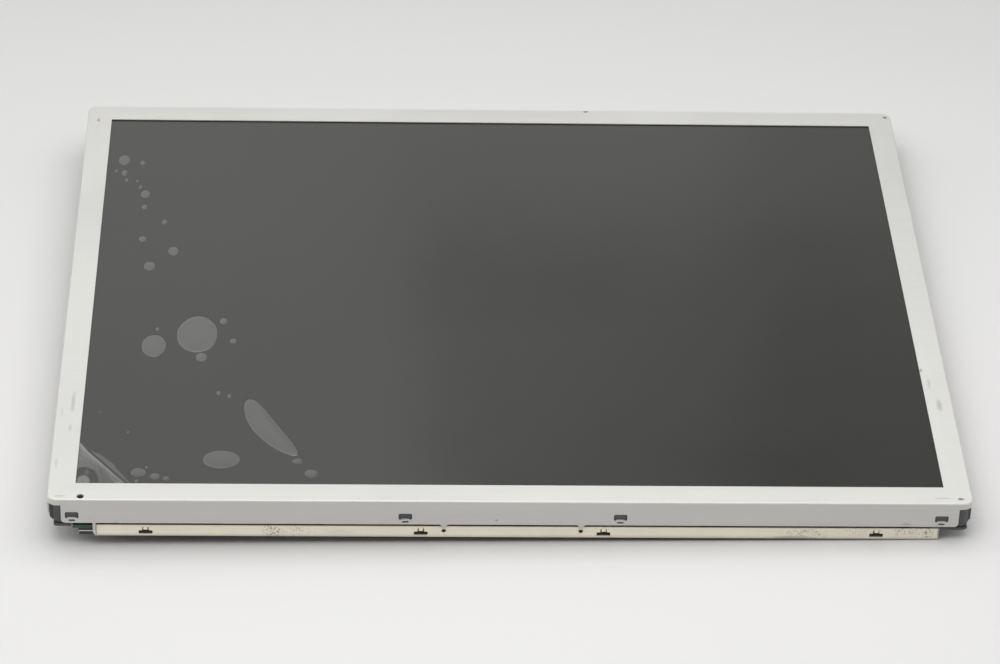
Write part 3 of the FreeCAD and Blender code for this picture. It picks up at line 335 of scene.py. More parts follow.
# %% Group for zinc crystals
CRYSTAL_SCALE = 240.0
STAIN_SCALE = 11.0
CRYSTAL_SHARE = 0.3
STAIN_SHARE = 0.9
ZINC_RANGE = (0.25, 0.9)
CRYSTAL_SPREAD = 0.14
zinc_flowers, entry, leave = new_group("zinc_flowers", SKIN_INPUTS, SKIN_OUTPUTS)
cells = zinc_flowers.nodes.new("ShaderNodeTexVoronoi")
put(zinc_flowers, cells.inputs["Scale"], CRYSTAL_SCALE)
put(zinc_flowers, cells.inputs["Vector"], entry["Place"])
cell_tone = zinc_flowers.nodes.new("ShaderNodeSeparateColor")
put(zinc_flowers, cell_tone.inputs[0], cells.outputs["Color"])
crystals = calc(zinc_flowers, "MULTIPLY", cell_tone.outputs[0], CRYSTAL_SHARE)
stain = noise(zinc_flowers, entry["Place"], STAIN_SCALE)
tone = calc(zinc_flowers, "ADD", crystals, calc(zinc_flowers, "MULTIPLY", stain, STAIN_SHARE))
spread = calc(zinc_flowers, "MULTIPLY", cell_tone.outputs[1], CRYSTAL_SPREAD)
skin_out(zinc_flowers, entry, leave, ramp(zinc_flowers, tone, *ZINC_RANGE), spread)
print("group", zinc_flowers.name)

# %% [markdown]
# ### Moulded skin
# Moulded plastic copies the spark-eroded steel of its mould: an even, very fine grain. It is
# far too fine to be modelled, so a noise raises it as a bump, and a slow one dulls the skin.

# %% Group for moulded plastic
SKIN_GRAIN_SCALE = 1600.0
DULL_SCALE = 30.0
DULL_RANGE = (0.35, 0.65)
DULL_SPREAD = 0.3
moulded_skin, entry, leave = new_group("moulded_skin", SKIN_INPUTS, SKIN_OUTPUTS + HEIGHT_OUTPUT)
grain = noise(moulded_skin, entry["Place"], SKIN_GRAIN_SCALE, detail=2.0)
dull = noise(moulded_skin, entry["Place"], DULL_SCALE)
spread = past_mean(moulded_skin, dull, DULL_SPREAD)
skin_out(moulded_skin, entry, leave, ramp(moulded_skin, dull, *DULL_RANGE), spread)
put(moulded_skin, leave["Height"], grain)
print("group", moulded_skin.name)

# %% [markdown]
# ### A patch of dirt
# Rubbed dirt sits in patches with a ragged, speckled edge. It could be painted on an image,
# but nodes stay sharp at any size. A patch is an ellipsoid round a point, faded to its rim,
# and a fine noise decides which grains inside it are dark.

# %% Group for a dirt patch
PATCH_CORE = 0.15
SPECK_RANGE = (0.64, 0.88)
dirt_patch, entry, leave = new_group(
    "dirt_patch",
    [("Place", "Vector"), ("Middle", "Vector"), ("Reach", "Vector"),
     ("Grain", "Float"), ("Cover", "Float"), ("Depth", "Float")],
    [("Mask", "Float")],
)
offset = calc_vector(dirt_patch, "SUBTRACT", entry["Place"], entry["Middle"])
away = calc_vector(dirt_patch, "LENGTH", calc_vector(dirt_patch, "DIVIDE", offset, entry["Reach"]))
fade = ramp(dirt_patch, away, PATCH_CORE, 1.0, 1.0, 0.0)
speck = noise(dirt_patch, entry["Place"], entry["Grain"], detail=4.0, rough=0.7)
level = calc(dirt_patch, "ADD", speck, calc(dirt_patch, "MULTIPLY", fade, entry["Cover"]))
grains = calc(dirt_patch, "MULTIPLY", ramp(dirt_patch, level, *SPECK_RANGE), fade)
put(dirt_patch, leave["Mask"], calc(dirt_patch, "MULTIPLY", grains, entry["Depth"]))


def dirt_marks(tree, place, marks):
    """The largest of several dirt patches. A mark is middle and reach in mm, grain, cover, depth."""
    total = 0.0
    for middle, reach, grain_scale, cover, depth in marks:
        mask = use_group(
            tree, dirt_patch, Place=place, Middle=tuple(np.array(middle) * MM),
            Reach=tuple(np.array(reach) * MM), Grain=grain_scale, Cover=cover, Depth=depth,
        )["Mask"]
        total = calc(tree, "MAXIMUM", total, mask)
    return total


print("group", dirt_patch.name)

# %% [markdown]
# ## Finishes
# Every node of the solids names a finish. Each finish is one material, kept in a table by
# the name of its slot, and the last step hands them out.

# %% Helpers for finishes
finishes = {}


def new_finish(slot, **values):
    """A material with one Principled shader. Gives its tree, the shader and object coordinates."""
    material = bpy.data.materials.new(slot)
    material.use_nodes = True
    shader = material.node_tree.nodes["Principled BSDF"]
    for label, value in values.items():
        shader.inputs[label.replace("_", " ")].default_value = value
    place = material.node_tree.nodes.new("ShaderNodeTexCoord").outputs["Object"]
    finishes[slot] = material
    return material.node_tree, shader, place


def coat_with(tree, shader, colour, roughness):
    """Gives the shader its colour and roughness."""
    put(tree, shader.inputs["Base Color"], colour)
    put(tree, shader.inputs["Roughness"], roughness)


def bump(tree, shader, height, depth, strength=0.3):
    """A Bump node on the shader's normal, with its depth in metres."""
    node = tree.nodes.new("ShaderNodeBump")
    put(tree, node.inputs["Strength"], strength)
    put(tree, node.inputs["Distance"], depth)
    put(tree, node.inputs["Height"], height)
    put(tree, shader.inputs["Normal"], node.outputs[0])


print("finish helpers ready")

# %% [markdown]
# ### Bezel steel
# The bezel is pressed from bright coated sheet with a satin skin. More than half of its light
# comes back like paint and the rest like metal, so Metallic lies between the two. Handling
# has left grey marks on its face and its skirt.

# %% Bezel steel
BEZEL_FACE = 23.4
FACE_REACH = 3.0
BEZEL_DIRT = (0.09, 0.085, 0.07, 1)
BEZEL_GRAIN_DEPTH = 0.02 * MM
# Each row is x, y, reach in x and in y, all in mm, and then grain, cover and depth.
FACE_MARKS = [
    (196.6, -161.3, 2.6, 1.6, 900.0, 0.50, 0.85),
    (189.0, -160.8, 9.0, 1.3, 1100.0, 0.34, 0.30),
    (190.8, -62.6, 1.2, 2.6, 700.0, 0.60, 0.50),
    (193.2, -74.0, 1.4, 9.0, 400.0, 0.45, 0.22),
    (195.9, -90.5, 2.2, 8.0, 400.0, 0.50, 0.30),
    (-194.7, -92.0, 1.7, 13.0, 400.0, 0.50, 0.26),
    (-194.9, -112.0, 1.3, 5.0, 400.0, 0.50, 0.20),
    (-199.4, -138.3, 1.1, 7.0, 400.0, 0.50, 0.18),
    (-199.2, -100.0, 1.2, 6.0, 400.0, 0.50, 0.12),
    (-196.6, -162.2, 4.6, 1.3, 400.0, 0.60, 0.25),
    (199.2, 160.4, 2.2, 2.2, 900.0, 0.45, 0.80),
    (47.8, 163.5, 2.4, 1.6, 900.0, 0.45, 0.80),
    (-196.7, 151.3, 1.6, 3.0, 900.0, 0.40, 0.50),
]
SKIRT_MARKS = [
    ((-6.7, -165.0, 13.4), (1.1, 2.0, 0.7), 700.0, 0.80, 0.60),
    ((173.0, -165.0, 12.3), (4.0, 2.0, 1.2), 700.0, 0.40, 0.30),
]
tree, shader, place = new_finish("bezel_steel", Metallic=0.42)
grain = use_group(
    tree, rolled_grain, Place=place, Run=(9.0, 1300.0, 1300.0),
    Tone=(0.632, 0.628, 0.603, 1), Shade=(0.603, 0.599, 0.577, 1), Matt=0.58,
)
bezel_marks = [
    ((x, y, BEZEL_FACE), (reach_x, reach_y, FACE_REACH), *look)
    for x, y, reach_x, reach_y, *look in FACE_MARKS
] + SKIRT_MARKS
mark = dirt_marks(tree, place, bezel_marks)
coat_with(tree, shader, mix_colour(tree, mark, grain["Color"], BEZEL_DIRT), grain["Roughness"])
bump(tree, shader, grain["Height"], BEZEL_GRAIN_DEPTH, strength=0.25)
print("marks on the bezel", len(bezel_marks))

# %% [markdown]
# ### Cream strip
# The board cover is coated in cream. Its near face is rubbed and speckled in two patches.
# The coat is worn towards the right. Painted shade darkens it towards the lower edge, most of all at
# the near fold, and the underside is painted dark grey so that the gap below stays dark. One material
# with a few layers of colour does all of it, so the strip stays one piece.

# %% Cream strip
STRIP_FACE = -164.0
STRIP_REACH = 4.0
STRIP_DIRT = (0.13, 0.105, 0.08, 1)
# Each row is x, z, reach in x and in z, all in mm, and then grain, cover and depth.
STRIP_MARKS = [
    (-104.5, 6.4, 10.0, 8.0, 900.0, 0.20, 1.00),
    (-93.0, 6.2, 14.0, 7.0, 1100.0, 0.14, 0.80),
    (-75.0, 6.0, 20.0, 5.0, 2100.0, 0.22, 0.30),
    (130.0, 6.2, 22.0, 5.5, 1100.0, 0.19, 0.65),
    (124.0, 4.0, 18.0, 2.0, 700.0, 0.45, 0.40),
    (152.0, 7.0, 20.0, 6.0, 1200.0, 0.16, 0.55),
    (171.0, 7.2, 6.0, 5.0, 900.0, 0.20, 0.95),
    (177.0, 7.0, 7.0, 6.0, 950.0, 0.20, 0.80),
    (183.0, 7.2, 5.0, 6.0, 850.0, 0.22, 0.95),
    (188.4, 7.0, 1.8, 7.0, 900.0, 0.70, 0.85),
]
# Each layer is a colour, an axis, two places on it in mm and the layer's share at both.
STRIP_LAYERS = {
    "worn": ((0.80, 0.775, 0.70, 1), "X", 90.0, 190.0, 0.0, 0.35),
    # The dull layer is painted shade: the coat is darker towards the lower edge, close above the
    # table.
    "dull": ((0.45, 0.40, 0.31, 1), "Z", 3.4, 5.4, 0.5, 0.0),
    # The next layer is painted shade: the underside is painted dark grey so that the gap below the
    # strip stays dark.
    "underside_painted_shade": ((0.28, 0.28, 0.275, 1), "Z", 3.15, 3.3, 1.0, 0.0),
}
# The fold at the lower near edge gets the darkest painted shade: low on the strip and near at once.
FOLD_PAINTED_SHADE = (0.12, 0.105, 0.085, 1)
FOLD_HEIGHTS = (3.1 * MM, 3.8 * MM)
FOLD_DEPTHS = (-162.0 * MM, -158.0 * MM)
SKIN_DEPTH = 0.03 * MM
tree, shader, place = new_finish("cover_cream")
coat = use_group(
    tree, moulded_skin, Place=place,
    Tone=(0.975, 0.925, 0.75, 1), Shade=(0.945, 0.89, 0.715, 1), Matt=0.5,
)
strip_marks = [
    ((x, STRIP_FACE, z), (reach_x, STRIP_REACH, reach_z), *look)
    for x, z, reach_x, reach_z, *look in STRIP_MARKS
]
mark = dirt_marks(tree, place, strip_marks)
axes = tree.nodes.new("ShaderNodeSeparateXYZ")
put(tree, axes.inputs[0], place)
coat_tone = coat["Color"]
for colour, axis, start, end, *shares in STRIP_LAYERS.values():
    share = ramp(tree, axes.outputs[axis], start * MM, end * MM, *shares)
    coat_tone = mix_colour(tree, share, coat_tone, colour)
low = ramp(tree, axes.outputs["Z"], *FOLD_HEIGHTS, 1.0, 0.0)
near = ramp(tree, axes.outputs["Y"], *FOLD_DEPTHS, 1.0, 0.0)
coat_tone = mix_colour(tree, calc(tree, "MULTIPLY", low, near), coat_tone, FOLD_PAINTED_SHADE)
coat_with(tree, shader, mix_colour(tree, mark, coat_tone, STRIP_DIRT), coat["Roughness"])
bump(tree, shader, coat["Height"], SKIN_DEPTH)
print("marks on the strip", len(strip_marks), "layers", list(STRIP_LAYERS))

# %% [markdown]
# ### Plain metals
# The tray, the rails and the shield are zinc coated. Screws, lamp troughs and the
# connector's frame are bright. They differ only in tone, grain and how matt they are, so
# each kind is a table and one loop.

# %% Zinc coated pieces and bright pieces
# Each row is tone, shade and how matt it is.
ZINC = {
    "rear_steel": ((0.62, 0.63, 0.63, 1), (0.47, 0.48, 0.49, 1), 0.30),
    "shield_steel": ((0.66, 0.67, 0.67, 1), (0.52, 0.53, 0.54, 1), 0.28),
    "rail_steel": ((0.58, 0.59, 0.60, 1), (0.45, 0.46, 0.47, 1), 0.34),
}
BRIGHT = {
    "screw_steel": ((0.72, 0.72, 0.70, 1), (0.58, 0.58, 0.57, 1), 0.26),
    "lamp_reflector": ((0.84, 0.84, 0.83, 1), (0.76, 0.76, 0.75, 1), 0.18),
    "connector_metal": ((0.70, 0.70, 0.68, 1), (0.55, 0.55, 0.53, 1), 0.3),
}
BRIGHT_RUN = (40.0, 900.0, 900.0)
BRIGHT_GRAIN_DEPTH = 0.01 * MM
for slot, (tone, shade, matt) in ZINC.items():
    tree, shader, place = new_finish(slot, Metallic=0.85)
    zinc = use_group(tree, zinc_flowers, Place=place, Tone=tone, Shade=shade, Matt=matt)
    coat_with(tree, shader, zinc["Color"], zinc["Roughness"])
for slot, (tone, shade, matt) in BRIGHT.items():
    tree, shader, place = new_finish(slot, Metallic=1.0)
    grain = use_group(
        tree, rolled_grain, Place=place, Run=BRIGHT_RUN, Tone=tone, Shade=shade, Matt=matt,
    )
    coat_with(tree, shader, grain["Color"], grain["Roughness"])
    bump(tree, shader, grain["Height"], BRIGHT_GRAIN_DEPTH, strength=0.2)
print("metals", len(ZINC) + len(BRIGHT))

# %% [markdown]
# ### Plastics, rubber and foam
# All of them are moulded or cut sheet with a fine skin. Written out one by one, their
# materials would differ in three values only, so one group and a table serve them all.

# %% Plastics, rubber and foam
# Each row is tone, shade and how matt it is.
PLASTICS = {
    "guide_plastic": ((0.085, 0.085, 0.088, 1), (0.06, 0.06, 0.063, 1), 0.5),
    "connector_black": ((0.035, 0.035, 0.036, 1), (0.02, 0.02, 0.021, 1), 0.42),
    "chip_black": ((0.03, 0.03, 0.03, 1), (0.02, 0.02, 0.02, 1), 0.6),
    "socket_plastic": ((0.78, 0.75, 0.66, 1), (0.70, 0.67, 0.58, 1), 0.45),
    "flat_cable": ((0.84, 0.84, 0.83, 1), (0.76, 0.76, 0.75, 1), 0.4),
    "insulator": ((0.05, 0.05, 0.052, 1), (0.035, 0.035, 0.037, 1), 0.45),
    "driver_film": ((0.06, 0.033, 0.016, 1), (0.04, 0.022, 0.011, 1), 0.35),
    "foam": ((0.03, 0.03, 0.03, 1), (0.02, 0.02, 0.02, 1), 0.9),
    "lamp_rubber": ((0.80, 0.79, 0.74, 1), (0.73, 0.72, 0.67, 1), 0.6),
    "white_sheet": ((0.92, 0.92, 0.92, 1), (0.87, 0.87, 0.87, 1), 0.55),
    "optical_sheet": ((0.88, 0.89, 0.89, 1), (0.82, 0.83, 0.83, 1), 0.35),
    "polariser": ((0.035, 0.035, 0.037, 1), (0.028, 0.028, 0.03, 1), 0.35),
}
for slot, (tone, shade, matt) in PLASTICS.items():
    tree, shader, place = new_finish(slot)
    skin = use_group(tree, moulded_skin, Place=place, Tone=tone, Shade=shade, Matt=matt)
    coat_with(tree, shader, skin["Color"], skin["Roughness"])
    bump(tree, shader, skin["Height"], SKIN_DEPTH)
print("plastics", len(PLASTICS))

# %% [markdown]
# ### Glass and acrylic
# The panes, the light guide and the lamps let light through. A glass shader could be mixed
# in, but the Principled shader has a number for it. So glass keeps plain numbers there, with
# only a little unevenness in its roughness.

# %% Clear pieces
# Each row is colour, how clear it is, its least roughness and its index of refraction.
CLEAR = {
    "screen_glass": ((0.80, 0.88, 0.85, 1), 0.9, 0.03, 1.51),
    "acrylic": ((0.93, 0.96, 0.95, 1), 0.9, 0.05, 1.49),
    "lamp_glass": ((0.93, 0.94, 0.92, 1), 0.25, 0.2, 1.48),
}
BREATH_SCALE = 25.0
BREATH_SPREAD = 0.08
for slot, (colour, clear, matt, index) in CLEAR.items():
    tree, shader, place = new_finish(slot, Base_Color=colour, Transmission_Weight=clear, IOR=index)
    breath = noise(tree, place, BREATH_SCALE)
    uneven = ramp(tree, breath, *NOISE_RANGE, matt, matt + BREATH_SPREAD)
    put(tree, shader.inputs["Roughness"], uneven)
print("clear pieces", len(CLEAR))

# %% [markdown]
# ### Circuit board
# Under the green lacquer run copper tracks, which show as paler bands. Drawing every track would be
# lost at this size, so the joints of a pattern of long thin bricks stand for them, and a noise dims
# the lacquer. The whole board is also darker than its own green, as painted shade.

# %% Circuit board
TRACKS = {"Scale": 160.0, "Mortar Size": 0.035, "Brick Width": 2.4, "Row Height": 0.18}
# The lacquer and track tones hold the board's green darkened by painted shade, as most of the board
# lies in shade under the bezel.
TRACK_TONE_WITH_PAINTED_SHADE = (0.02, 0.075, 0.042, 1)
LACQUER_SCALE = 60.0
LACQUER_TONES_WITH_PAINTED_SHADE = ((0.008, 0.030, 0.019, 1), (0.012, 0.042, 0.026, 1))
LACQUER_ROUGHNESS = (0.35, 0.5)
tree, shader, place = new_finish("board_green", Coat_Weight=0.3, Coat_Roughness=0.15)
tracks = tree.nodes.new("ShaderNodeTexBrick")
put(tree, tracks.inputs["Vector"], place)
for label, value in TRACKS.items():
    put(tree, tracks.inputs[label], value)
lacquer = noise(tree, place, LACQUER_SCALE)
ground = mix_colour(tree, lacquer, *LACQUER_TONES_WITH_PAINTED_SHADE)
coat_with(
    tree, shader, mix_colour(tree, tracks.outputs["Fac"], ground, TRACK_TONE_WITH_PAINTED_SHADE),
    ramp(tree, lacquer, *NOISE_RANGE, *LACQUER_ROUGHNESS),
)
print("boards finished")

# %% [markdown]
# ### Film over the screen
# What the eye sees in the window is a dark matt screen under a thin film. Where the film lies flat
# both look like one dark skin. Where air is under it, two more faces mirror the light and it looks
# pale grey. Real layers of clear film would be slow and noisy, so the mesh carries the share of air
# as an attribute, and the finish paints that reflection in: a pale grey base colour mixed in by the
# share of air.

# %% Film
AIR_NAME = "air"
# The pale grey is painted reflection from the film's two extra faces over the air.
AIR_PAINTED_REFLECTION = (0.18, 0.18, 0.175, 1)
SCREEN_TONES = ((0.019, 0.019, 0.018, 1), (0.023, 0.023, 0.021, 1))
SCREEN_ROUGHNESS = (0.15, 0.19)
HAZE_SCALE = 7.0
TEXTURE_SCALE = 420.0
TEXTURE_DEPTH = 0.008 * MM
tree, shader, place = new_finish("screen_film", IOR=1.7)
air = tree.nodes.new("ShaderNodeAttribute")
air.attribute_name = AIR_NAME
haze = noise(tree, place, HAZE_SCALE, detail=4.0)
texture = noise(tree, place, TEXTURE_SCALE, detail=2.0)
dark_skin = mix_colour(tree, ramp(tree, haze, *NOISE_RANGE), *SCREEN_TONES)
coat_with(
    tree, shader, mix_colour(tree, air.outputs["Fac"], dark_skin, AIR_PAINTED_REFLECTION),
    ramp(tree, haze, *NOISE_RANGE, *SCREEN_ROUGHNESS),
)
bump(tree, shader, texture, TEXTURE_DEPTH, strength=0.2)
print("film finished")

# %% Hand out the finishes
for row in frame["record"]["subparts"]:
    for material_slot in frame["nodes"][row["node"]].material_slots:
        material_slot.material = finishes[row["material_slot"]]
print("finishes handed out", len(finishes))

# %% [markdown]
# ## Meshes from arrays
# The new pieces are surfaces on a grid, made as whole arrays. The helpers give the faces of
# a grid, of a stack of rings with a point at each end, and of many copies of one shape, and
# turn points and faces into a piece that rides on the panel.

# %% Helpers for meshes
def grid_faces(rows, columns, wrap=False):
    """Quads of a grid of points numbered row by row. Wrap joins the last column to the first."""
    places = np.arange(columns if wrap else columns - 1)
    row, column = np.meshgrid(np.arange(rows - 1), places, indexing="ij")
    after = (column + 1) % columns
    start = row * columns
    below = start + columns
    corners = (start + column, below + column, below + after, start + after)
    return np.stack([corner.ravel() for corner in corners], axis=1)


def ring_faces(rings, points):
    """Faces of a stack of rings with a first point before it and a last point after it."""
    place = np.arange(points)
    after = (place + 1) % points
    first = np.column_stack([np.zeros(points, int), 1 + place, 1 + after])
    last_ring = 1 + (rings - 1) * points
    end = np.full(points, 1 + rings * points)
    last = np.column_stack([end, last_ring + after, last_ring + place])
    return first, 1 + grid_faces(rings, points, wrap=True), last


def copied_faces(blocks, copies, points):
    """The same blocks of faces for every copy of a shape that has this many points."""
    starts = np.arange(copies)[:, None, None] * points
    return [(block + starts).reshape(-1, block.shape[1]) for block in blocks]


def new_piece(name, points, faces, slot):
    """A mesh object at the origin, riding on the panel, with the finish of its slot."""
    mesh = bpy.data.meshes.new(name)
    mesh.from_pydata(points.tolist(), [], [face for block in faces for face in block.tolist()])
    mesh.polygons.foreach_set("use_smooth", np.full(len(mesh.polygons), True))
    mesh.materials.append(finishes[slot])
    piece = bpy.data.objects.new(name, mesh)
    bpy.context.scene.collection.objects.link(piece)
    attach(piece, "root")
    return piece


def set_air(piece, shares):
    """Gives each point of a piece its share of air."""
    attribute = piece.data.attributes.new(AIR_NAME, "FLOAT", "POINT")
    attribute.data.foreach_set("value", shares.ravel().astype(np.float32))


def smooth_step(value, low, high):
    """0 below low, 1 above high, and 3 t^2 - 2 t^3 between. Low may be the larger one."""
    share = np.clip((value - low) / (high - low), 0.0, 1.0)
    return share * share * (3.0 - 2.0 * share)


def bell(value, middle, width):
    """exp(-((value - middle) / width)^2)."""
    return np.exp(-(((value - middle) / width) ** 2))


print("mesh helpers ready")

# %% [markdown]
# ## The loose film
# The film is a tenth of a millimetre thick and stuck to the screen, except in the near left
# corner, where it has come up in a fold. Folding a plain sheet with a modifier would move
# its edges, so the height is written as a formula of the place: a crest along the fold, a
# gentle slope behind it with ripples, a ring that is stuck down again, and a narrow blister
# beside the fold. The grid is fine only in that corner.

# %% Places in the loose corner
# Lengths and places are in mm. The film reaches under the bezel's lip by its lap.
FILM_LAP = 1.3
film_low, film_high = (np.array(corner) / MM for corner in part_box("protective_film"))
window_left, window_near = film_low[:2] + FILM_LAP
FOLD_START = np.array((-188.9, -122.9))
FOLD_END = np.array((-167.7, -151.6))
FOLD_BOW = 0.85
FOLD_BOW_ALONG = (-2.0, 7.0)
fold_line = (FOLD_END - FOLD_START) / np.linalg.norm(FOLD_END - FOLD_START)
RING_MIDDLE = (-187.0, -151.0)
RING_REACH = (7.0, 11.0)
RING_OUTSIDE = (1.03, 0.9)
RING_INSIDE = (0.38, 0.52)
BLISTER_ALONG = (5.0, 10.0, 16.0, 21.5, 24.2, 30.0, 38.0)
BLISTER_EDGE = (-0.3, -1.9, -2.45, -3.0, -2.0, -1.5, -0.8)
BLISTER_SOFT = 0.2
BLISTER_END = (-0.2, -0.6)
LOOSE_FROM = (-0.15, 0.35)


def fold_places(x, y):
    """Distances in mm along the fold's line and across it, and past the fold itself, which is
    the distance across less a bow that grows along the line."""
    right, back = x - FOLD_START[0], y - FOLD_START[1]
    along = right * fold_line[0] + back * fold_line[1]
    across = right * fold_line[1] - back * fold_line[0]
    return along, across, across - FOLD_BOW * smooth_step(along, *FOLD_BOW_ALONG)


def ring_places(x, y):
    """Distance from the ring's middle, 1 at its outside, and the share that is stuck down."""
    ring = np.hypot((x - RING_MIDDLE[0]) / RING_REACH[0], (y - RING_MIDDLE[1]) / RING_REACH[1])
    return ring, smooth_step(ring, *RING_OUTSIDE) * smooth_step(ring, *RING_INSIDE)


def blister_share(along, across):
    """1 inside the blister, between its far edge and the fold, and 0 outside."""
    edge = np.interp(along, BLISTER_ALONG, BLISTER_EDGE)
    rise = smooth_step(across, edge - BLISTER_SOFT, edge + BLISTER_SOFT)
    return rise * smooth_step(across, *BLISTER_END)


print("length of the fold in mm", round(float(np.linalg.norm(FOLD_END - FOLD_START)), 1))

# %% Height and air of the loose corner
CREST_HEIGHT, CREST_AT, CREST_WIDTH = 0.42, 1.6, 1.5
SLOPE_HEIGHT, SLOPE_FROM = 0.18, (0.5, 4.0)
BLISTER_HEIGHT, BLISTER_AIR = 0.2, 0.33
# Each ripple is its height in mm and its turns in radians for each mm past and along the fold.
RIPPLES = ((0.05, 1.9, 0.12), (0.03, 4.1, -0.3))
EDGE_FROM, EDGE_HEIGHT = (-0.3, 1.6), 0.1
FOLD_AIR, FOLD_AIR_AT, FOLD_AIR_REACH = 0.62, 0.5, 1.3
SLOPE_AIR = 0.24
START_AIR, START_ALONG = 0.26, (22.0, 8.0)
MIDDLE_AIR, MIDDLE_RING = 0.45, (0.6, 0.3)
RIM_AIR, RIM_RING, RIM_WIDTH = 0.1, 1.1, 0.05
SPOT_AIR, SPOT_MIDDLE, SPOT_REACH = 0.3, (-185.7, -143.5), (0.9, 1.5)
# The streaks: their strength, their turns in radians for each mm past and along the fold, and
# the size and the turns of the sway that keeps them from being straight.
STREAK_AIR, STREAK_PAST, STREAK_ALONG = 0.12, 2.6, 0.8
SWAY_SIZE, SWAY_ALONG = 0.8, 0.45


def film_height(x, y):
    """Height in mm at places x, y in mm. With s the distance past the fold, it is a crest
    exp(-((s - 1.6) / 1.5)^2) and a slope with ripples behind it, times the share that isn't
    stuck down, plus the blister before the fold. At the window's edge a tenth is left."""
    along, across, past = fold_places(x, y)
    crest = CREST_HEIGHT * bell(past, CREST_AT, CREST_WIDTH)
    ripple = sum(size * np.sin(past * over + along * on) for size, over, on in RIPPLES)
    slope = SLOPE_HEIGHT * smooth_step(past, *SLOPE_FROM) + ripple
    lifted = smooth_step(past, *LOOSE_FROM) * (crest + slope) * (1.0 - ring_places(x, y)[1])
    inside = smooth_step(np.minimum(x - window_left, y - window_near), *EDGE_FROM)
    raised = lifted + BLISTER_HEIGHT * blister_share(along, across)
    return raised * (EDGE_HEIGHT + (1.0 - EDGE_HEIGHT) * inside)


def air_share(x, y):
    """Share of air under the film at places x, y in mm, which sets how much painted reflection the
    finish mixes in. It falls off from the fold as exp(-|s - 0.5| / 1.3), is more near the fold's
    start, in the ring's middle, on the ring's rim and at one spot, and has streaks that follow the
    fold."""
    along, across, past = fold_places(x, y)
    ring, stuck = ring_places(x, y)
    fall = FOLD_AIR * np.exp(-np.abs(past - FOLD_AIR_AT) / FOLD_AIR_REACH) + SLOPE_AIR
    fall = fall + START_AIR * smooth_step(along, *START_ALONG)
    patch = MIDDLE_AIR * smooth_step(ring, *MIDDLE_RING) + RIM_AIR * bell(ring, RIM_RING, RIM_WIDTH)
    sway = SWAY_SIZE * np.sin(along * SWAY_ALONG)
    waves = np.sin(past * STREAK_PAST + sway) * np.cos(along * STREAK_ALONG)
    spot = bell(x, SPOT_MIDDLE[0], SPOT_REACH[0]) * bell(y, SPOT_MIDDLE[1], SPOT_REACH[1])
    behind = (fall + patch) * (1.0 - stuck) * (1.0 + STREAK_AIR * waves) + SPOT_AIR * spot
    before = BLISTER_AIR * blister_share(along, across)
    return np.clip(smooth_step(past, *LOOSE_FROM) * behind + before, 0.0, 1.0)


print("height in mm in the middle of the ring", round(float(film_height(*RING_MIDDLE)), 2))

# %% Film with a lifted corner
FINE_STEP = 0.4
COARSE_STEP = 9.0
CORNER_RIGHT = -160.0
CORNER_FAR = -114.0


def spaced(low, high, fine_to):
    """Places from low to high, close together up to fine_to, wide apart after it, and one fine
    step at the end, so that the sheet stays flat up to the rim that the bezel hides."""
    near = np.arange(low, fine_to, FINE_STEP)
    far = np.linspace(fine_to, high - FINE_STEP, int((high - fine_to) / COARSE_STEP))
    return np.concatenate([near, far, [high]])


film_x = spaced(film_low[0], film_high[0], CORNER_RIGHT)
film_y = spaced(film_low[1], film_high[1], CORNER_FAR)
grid_y, grid_x = np.meshgrid(film_y, film_x, indexing="ij")
lift = film_height(grid_x, grid_y)
upper = np.stack([grid_x, grid_y, film_high[2] + lift], axis=-1)
lower = upper - np.array((0.0, 0.0, film_high[2] - film_low[2]))
rows, columns = grid_x.shape
count = rows * columns
top_faces = grid_faces(rows, columns)[:, ::-1]
number = np.arange(count).reshape(rows, columns)
rim = np.concatenate([number[0, :-1], number[:-1, -1], number[-1, :0:-1], number[:0:-1, 0]])
rim_next = np.roll(rim, -1)
rim_faces = np.column_stack([rim + count, rim_next + count, rim_next, rim])
film = new_piece(
    "loose_film", np.concatenate([upper, lower]).reshape(-1, 3) * MM,
    [top_faces, top_faces[:, ::-1] + count, rim_faces], "screen_film",
)
set_air(film, np.tile(air_share(grid_x, grid_y).ravel(), 2))
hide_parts("protective_film")
print("film grid", rows, columns, "highest lift in mm", round(float(lift.max()), 2))

# %% [markdown]
# ## Trapped air
# Over thirty bubbles of air lie under the film. Each is a low cap with a sharp outline. A
# sphere squashed flat would be round, and most of these are long and lean, so a cap is its
# outline shrunk ring by ring to its middle, raised by one minus the square of the ring.

# %% Outlines of the bubbles
BUBBLE_POINTS = 48
turn = np.linspace(0.0, 2.0 * np.pi, BUBBLE_POINTS, endpoint=False)
